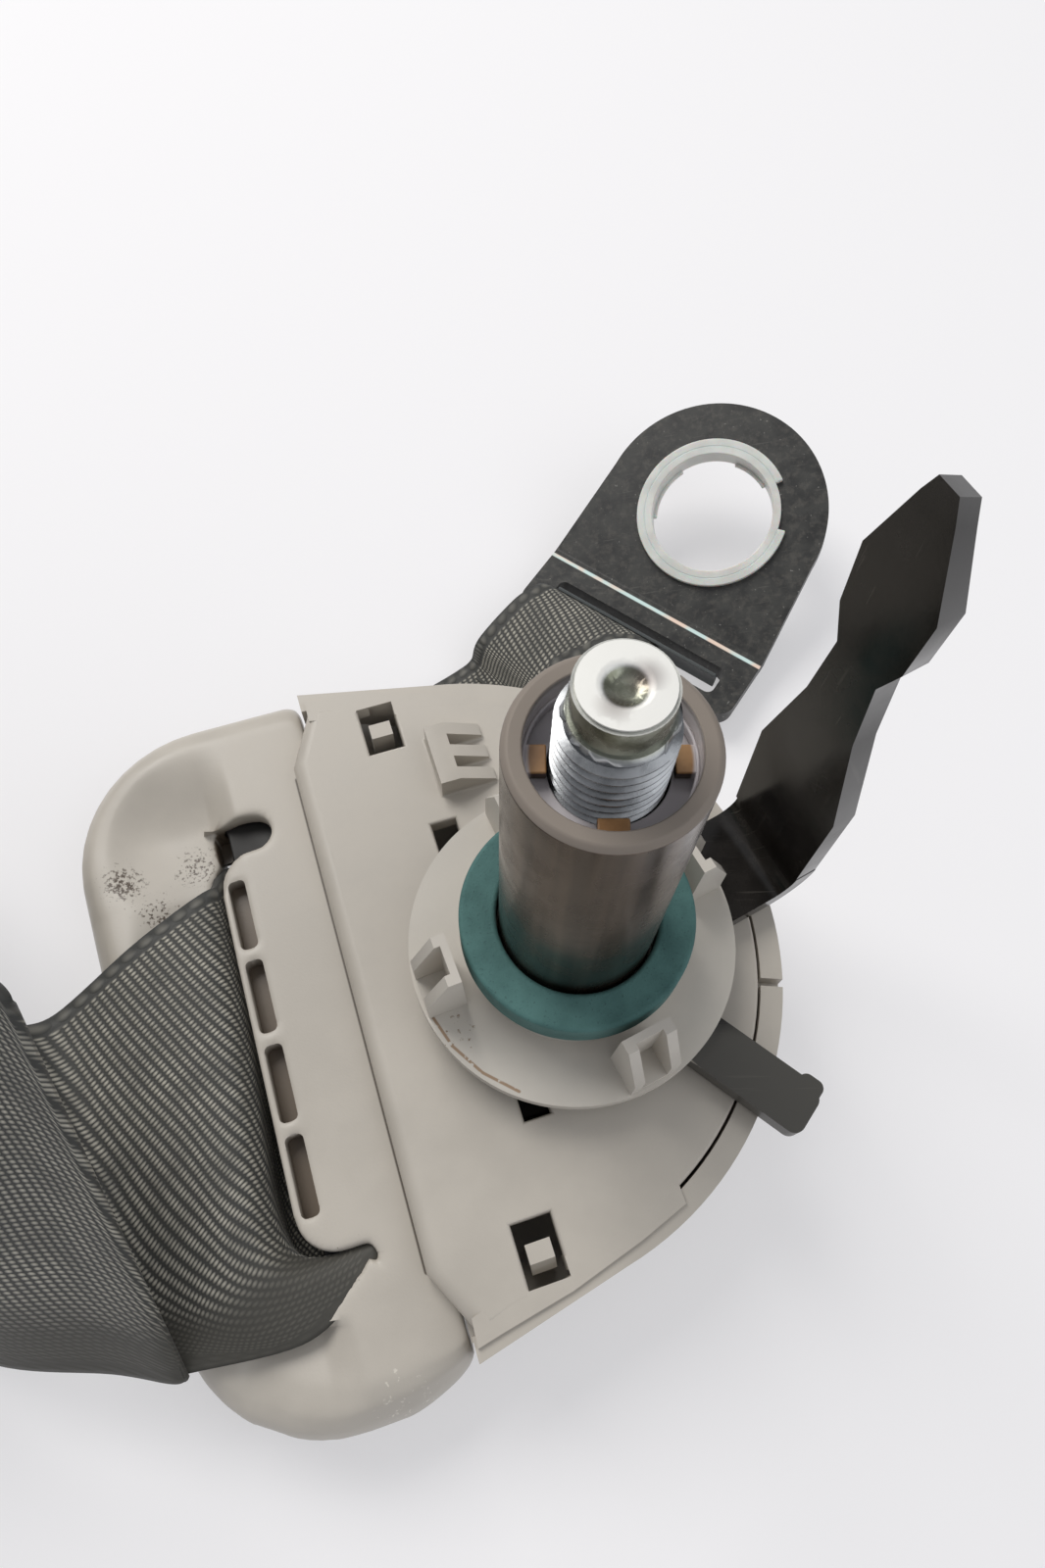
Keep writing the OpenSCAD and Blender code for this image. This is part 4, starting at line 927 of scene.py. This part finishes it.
def add_webbing():
    """The strap, lofted through its stations, and the roll that its far end joins."""
    stations = webbing_stations()
    steps = 8
    slot_at, slot_past, folds_past = 20, 24, 32
    lines = [smooth_line([station[part] for station in stations], steps) for part in range(3)]
    sections = [smooth_line([far, far.lerp(knee, 0.5), knee, near], 8) for far, knee, near in zip(*lines)]
    places = range(len(sections))
    # Stations from the slot to the folds are quiet: painted shade with faded float highlights.
    quiet = [1.0 if slot_at * steps <= i <= folds_past * steps else 0.0 for i in places]
    own = [1.0 if slot_at * steps <= i < slot_past * steps else 0.0 for i in places]
    bm, length = strap_mesh(sections, quiet, own, slant=0.52)
    strap = show("webbing_strap", bm, "webbing", smooth=60.0, weighted=False)
    thicken(strap, WEBBING_T)

    turns, steps, wide = 17, 44, 6
    low = ROLL_CORE_R + WEBBING_T / 2
    high = ROLL_R - WEBBING_T / 2
    foot = []
    for i in range(turns * steps + 1):
        angle = -math.pi / 2 - 2 * math.pi * (turns - i / steps)
        radius = low + (high - low) * i / (turns * steps)
        foot.append(Vector((*turned(radius, 0, angle, ROLL_AT), ROLL_Z)))
    rise = [Vector((0, 0, WEBBING_W * (1 - k / wide))) for k in range(wide + 1)]
    sections = [[point + up for up in rise] for point in foot]
    bm, length = strap_mesh(sections, [0.0] * len(sections))
    roll = show("webbing_roll_turns", bm, "webbing_roll", smooth=60.0, weighted=False)
    thicken(roll, 1.15)


# Guide loop, whose helpers work in the loop's own directions

def dish_loop(bm):
    """Lowers the face towards the slot, wider and deeper at the slot's upper end."""
    skin, bar = 5, 4
    upper_from, upper_length = 12, 16
    width, depth = 9.0, 2.2
    more_width, more_depth = 4.0, 1.0
    for vert in bm.verts:
        x, y, z = vert.co / mm
        if z < LOOP_TOP - skin or x > SLOT_X[1] + bar:
            continue
        aside = max(SLOT_X[0] - x, 0.0)
        beyond = max(y - SLOT_Y[1], SLOT_Y[0] - y, 0.0)
        away = math.hypot(aside, beyond)
        if away == 0.0 and x >= SLOT_X[1] - 1:
            away = width
        upper = held((y - upper_from) / upper_length)
        share = max(0.0, 1 - away / (width + more_width * upper))
        ease = eased(share) * min(1.0, (SLOT_X[1] + bar - x) / bar)
        vert.co.z -= (depth + more_depth * upper) * mm * ease * min(1.0, (z - LOOP_TOP + skin) / 4)


def close_slot_ends(bm):
    """Draws in both ends of the slot, narrows its lower hook and rounds the limb's lower corner."""
    upper_low, upper_high, reach = 15.5, 36, 12
    corner_x, corner_y, corner_lift = -34, -38, 3.2
    lower_lift, lower_reach, hook_slope = 3.0, 9, 0.654
    hook_reach, hook_shift = 5.5, 1.6
    for vert in bm.verts:
        x, y = vert.co.x / mm, vert.co.y / mm
        wall = SLOT_X[0] + 4.3 * held((y - 24.5) / 8.5)
        close = SLOT_X[0] + 5.1 * held((y - upper_low) / 8.5) + 1.5 * held((y - 25.5) / 2.5)
        if x < wall + 0.9 and upper_low < y < upper_high:
            share = eased(max(0.0, 1 - max(0.0, wall - x) / reach))
            vert.co.x += max(0.0, close - wall) * share * min(1.0, (upper_high - y) / 3) * mm
        if x > corner_x and y < corner_y:
            aside = min(1.0, (x - corner_x) / 9.3) ** 1.5
            vert.co.y += corner_lift * mm * aside * min(1.0, (corner_y - y) / 5.8)
        below = SLOT_Y[0] + hook_slope * min(11.0, max(0.0, x - SLOT_X[1])) + 0.8 - y
        share = max(0.0, 1 - below / lower_reach) if below > 0 else 0.0
        if below < 0 and x < SLOT_X[0]:
            share = max(0.0, 1 + below / 3)
        fade = max(0.0, min(1.0, (x + 51) / 3, (-29 - x) / 4))
        vert.co.y += lower_lift * mm * eased(share) * fade
        share = max(0.0, 1 - math.hypot(x - HOOK_LOW[0] - 2.3, y - HOOK_LOW[1]) / hook_reach)
        vert.co.x -= hook_shift * mm * eased(share)


def cut_recesses(bm):
    """Cuts the four round-ended recesses beside the slot."""
    cutter = bmesh.new()
    for i in range(4):
        place = move_by(SLOT_X[1] + 0.9 + RECESS_W / 2, RECESS_MID_Y + (i - 1.5) * RECESS_PITCH,
                        LOOP_TOP + 0.5 - RECESS_DEPTH / 2)
        add_box(cutter, place, (RECESS_W, RECESS_L, RECESS_DEPTH + 1.0))
    upright = [edge for edge in cutter.edges if abs(edge.verts[0].co.z - edge.verts[1].co.z) > 1 * mm]
    bevel(cutter, upright, 0.7, 4)
    settings = {"operation": "DIFFERENCE", "solver": "EXACT"}
    return modified(bm, "guide_loop_recesses", "BOOLEAN", settings, cutter)


def shade_hollows(bm):
    """Marks painted shade in the recesses and the slot's hooks, darker with depth, and puts a dark web in the
    upper hook as painted shade.
    """
    hollow_shade = bm.verts.layers.float.new("hollow_shade")
    shade_web_at, shade_web_size = (-40.9, 32.5, -70), (5.3, 5, 0.8)
    for vert in bm.verts:
        x, y, z = vert.co / mm
        inside = SLOT_X[1] + 0.8 < x < SLOT_X[1] + 1.0 + RECESS_W and abs(y - RECESS_MID_Y) < 2 * RECESS_PITCH
        vert[hollow_shade] = held((LOOP_TOP - 0.3 - z) / 1.6) if inside and z > LOOP_TOP - 3.5 else 0.0
        near_hook = min(math.hypot(x - at[0], y - at[1]) for at in (HOOK_TOP, HOOK_LOW))
        if near_hook < 6 and z > LOOP_Z + 0.8:
            vert[hollow_shade] = max(vert[hollow_shade], held((LOOP_TOP - 1.6 - z) / 2.5))
    # The dark web is painted shade: a dark sheet under the upper hook where the table would show through.
    for vert in add_box(bm, move_by(*shade_web_at), shade_web_size):
        vert[hollow_shade] = 1.0


def add_guide_loop():
    """Soft moulding: the solid remeshed evenly and smoothed, dished towards the slot, with crisp recesses."""
    bm = merged_copy("guide_loop")
    turn_mesh(bm, -LOOP_TURN)
    bm = modified(bm, "guide_loop_even", "REMESH", {"mode": "VOXEL", "voxel_size": 0.5 * mm})
    for _ in range(5):
        bmesh.ops.smooth_vert(bm, verts=bm.verts, factor=0.5,
                              use_axis_x=True, use_axis_y=True, use_axis_z=True)
    dish_loop(bm)
    close_slot_ends(bm)
    bm = cut_recesses(bm)
    shade_hollows(bm)
    turn_mesh(bm, LOOP_TURN)
    show("guide_loop_moulding", bm, "guide_loop", smooth=50.0, weighted=False)


def add_bolt():
    """The solid bolt with its shank turned down to the thread's root, and the thread wound on it."""
    root, groove_r = 4.3, 4.55
    end_z, end_r = 9.6, 3.72
    chamfer_z, chamfer_to = 9.0, 9.32
    near, hair = 0.05 * mm, 0.01 * mm
    bm = merged_copy("anchor_bolt")
    for vert in bm.verts:
        radius = math.hypot(vert.co.x, vert.co.y)
        if abs(radius - BOLT_R * mm) < near or abs(radius - groove_r * mm) < near:
            vert.co.xy *= root * mm / radius
        if radius > 3 * mm and abs(vert.co.z - end_z * mm) < hair:
            vert.co.xy *= end_r * mm / radius
        if radius > 3 * mm and abs(vert.co.z - chamfer_z * mm) < hair:
            vert.co.z = chamfer_to * mm
    round_edges(bm, 0.2)
    pitch, steps = 1.25, 48
    low, high = -54.0, 4.6
    foot_half, crest_half = 0.46, 0.07
    count = round((high - low) / pitch * steps)
    profile = [bm.verts.new(Vector((x, 0, low + z)) * mm)
               for x, z in ((root - 0.3, -foot_half), (BOLT_R, -crest_half),
                            (BOLT_R, crest_half), (root - 0.3, foot_half))]
    start = bm.faces.new(profile)
    made = bmesh.ops.spin(bm, geom=profile + list(start.edges), cent=(0, 0, 0), axis=(0, 0, 1),
                          dvec=(0, 0, pitch / steps * mm), angle=2 * math.pi * count / steps, steps=count)
    end = only_verts(made["geom_last"])
    bm.faces.new(end)
    bmesh.ops.recalc_face_normals(bm, faces=list({face for vert in end for face in vert.link_faces}))
    show("bolt_with_thread", bm, "anchor_bolt", smooth=50.0)


def add_stitching():
    """Three rows of single stitches over the lap."""
    rows, stitches = 3, 13
    first_row, row_pitch, margin = 1.1, 2.4, 8.0
    filled, wide, thick = 0.86, 0.6, 0.38
    low, high = (Vector(corner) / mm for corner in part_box("lap_stitching"))
    start, end = Vector((*LAP_FAR, 0)), Vector((*LAP_NEAR, 0))
    along = (end - start).normalized()
    across = Vector((-along.y, along.x, 0))
    middle = (start + end) / 2
    length = (end - start).length - margin
    turn = turn_about_z(math.atan2(along.y, along.x))
    bm = bmesh.new()
    for row in range(rows):
        for i in range(stitches):
            share = (i + 0.5) / stitches - 0.5
            place = middle + along * (length * share) + across * (first_row + row * row_pitch)
            add_box(bm, move_by(place.x, place.y, (low.z + high.z) / 2) @ turn,
                    (length / stitches * filled, wide, thick))
    round_edges(bm, 0.16, 2)
    show("lap_thread_stitches", bm, "lap_stitching")


# Stage

def add_floor():
    floor = bpy.data.materials.new("white_table")
    floor.use_nodes = True
    tree = floor.node_tree
    tree.nodes.clear()
    matt = add_node(tree, "ShaderNodeBsdfDiffuse", {"Color": (0.88, 0.87, 0.88, 1.0)})
    glow = add_node(tree, "ShaderNodeEmission", {"Color": (0.97, 0.96, 0.97, 1.0), "Strength": 1.0})
    ray = tree.nodes.new("ShaderNodeLightPath").outputs
    seen = math_node("MAXIMUM", ray["Is Camera Ray"],
                     math_node("MAXIMUM", ray["Is Glossy Ray"], ray["Is Transmission Ray"]))
    both = add_node(tree, "ShaderNodeMixShader", {0: times(seen, 0.4),
                                                  1: matt.outputs[0], 2: glow.outputs[0]})
    add_node(tree, "ShaderNodeOutputMaterial", {"Surface": both.outputs[0]})
    bm = bmesh.new()
    bmesh.ops.create_grid(bm, x_segments=1, y_segments=1, size=1.5,
                          matrix=Matrix.Translation((0, 0, TABLE_Z * mm)))
    mesh = finished_mesh("table_top", bm)
    mesh.materials.append(floor)
    table = put("table_top", mesh)


def add_light(name, at, size, power, colour):
    data = bpy.data.lights.new(name, "AREA")
    data.size = size
    data.energy = power
    data.color = colour
    lamp = put(name, data)
    lamp.location = at
    lamp.rotation_euler = (Vector((0, 0, TABLE_Z * mm)) - Vector(at)).to_track_quat("-Z", "Y").to_euler()


def add_lights():
    world = bpy.data.worlds.new("studio")
    world.use_nodes = True
    sky = world.node_tree.nodes["Background"].inputs
    sky["Color"].default_value = (0.93, 0.95, 1.0, 1.0)
    sky["Strength"].default_value = 0.41
    scene.world = world
    add_light("window_light", (-0.35, 0.45, 0.6), 0.5, 4.8, (1.0, 0.98, 0.95))
    add_light("fill_light", (0.5, -0.2, 0.5), 0.6, 1.3, (0.95, 0.97, 1.0))


add_camera()
add_webbing()
add_guide_loop()
add_rounded_pieces()
add_rear_cover()
add_bracket()
add_anchor()
add_retainer()
add_bolt()
add_stitching()
add_floor()
add_lights()
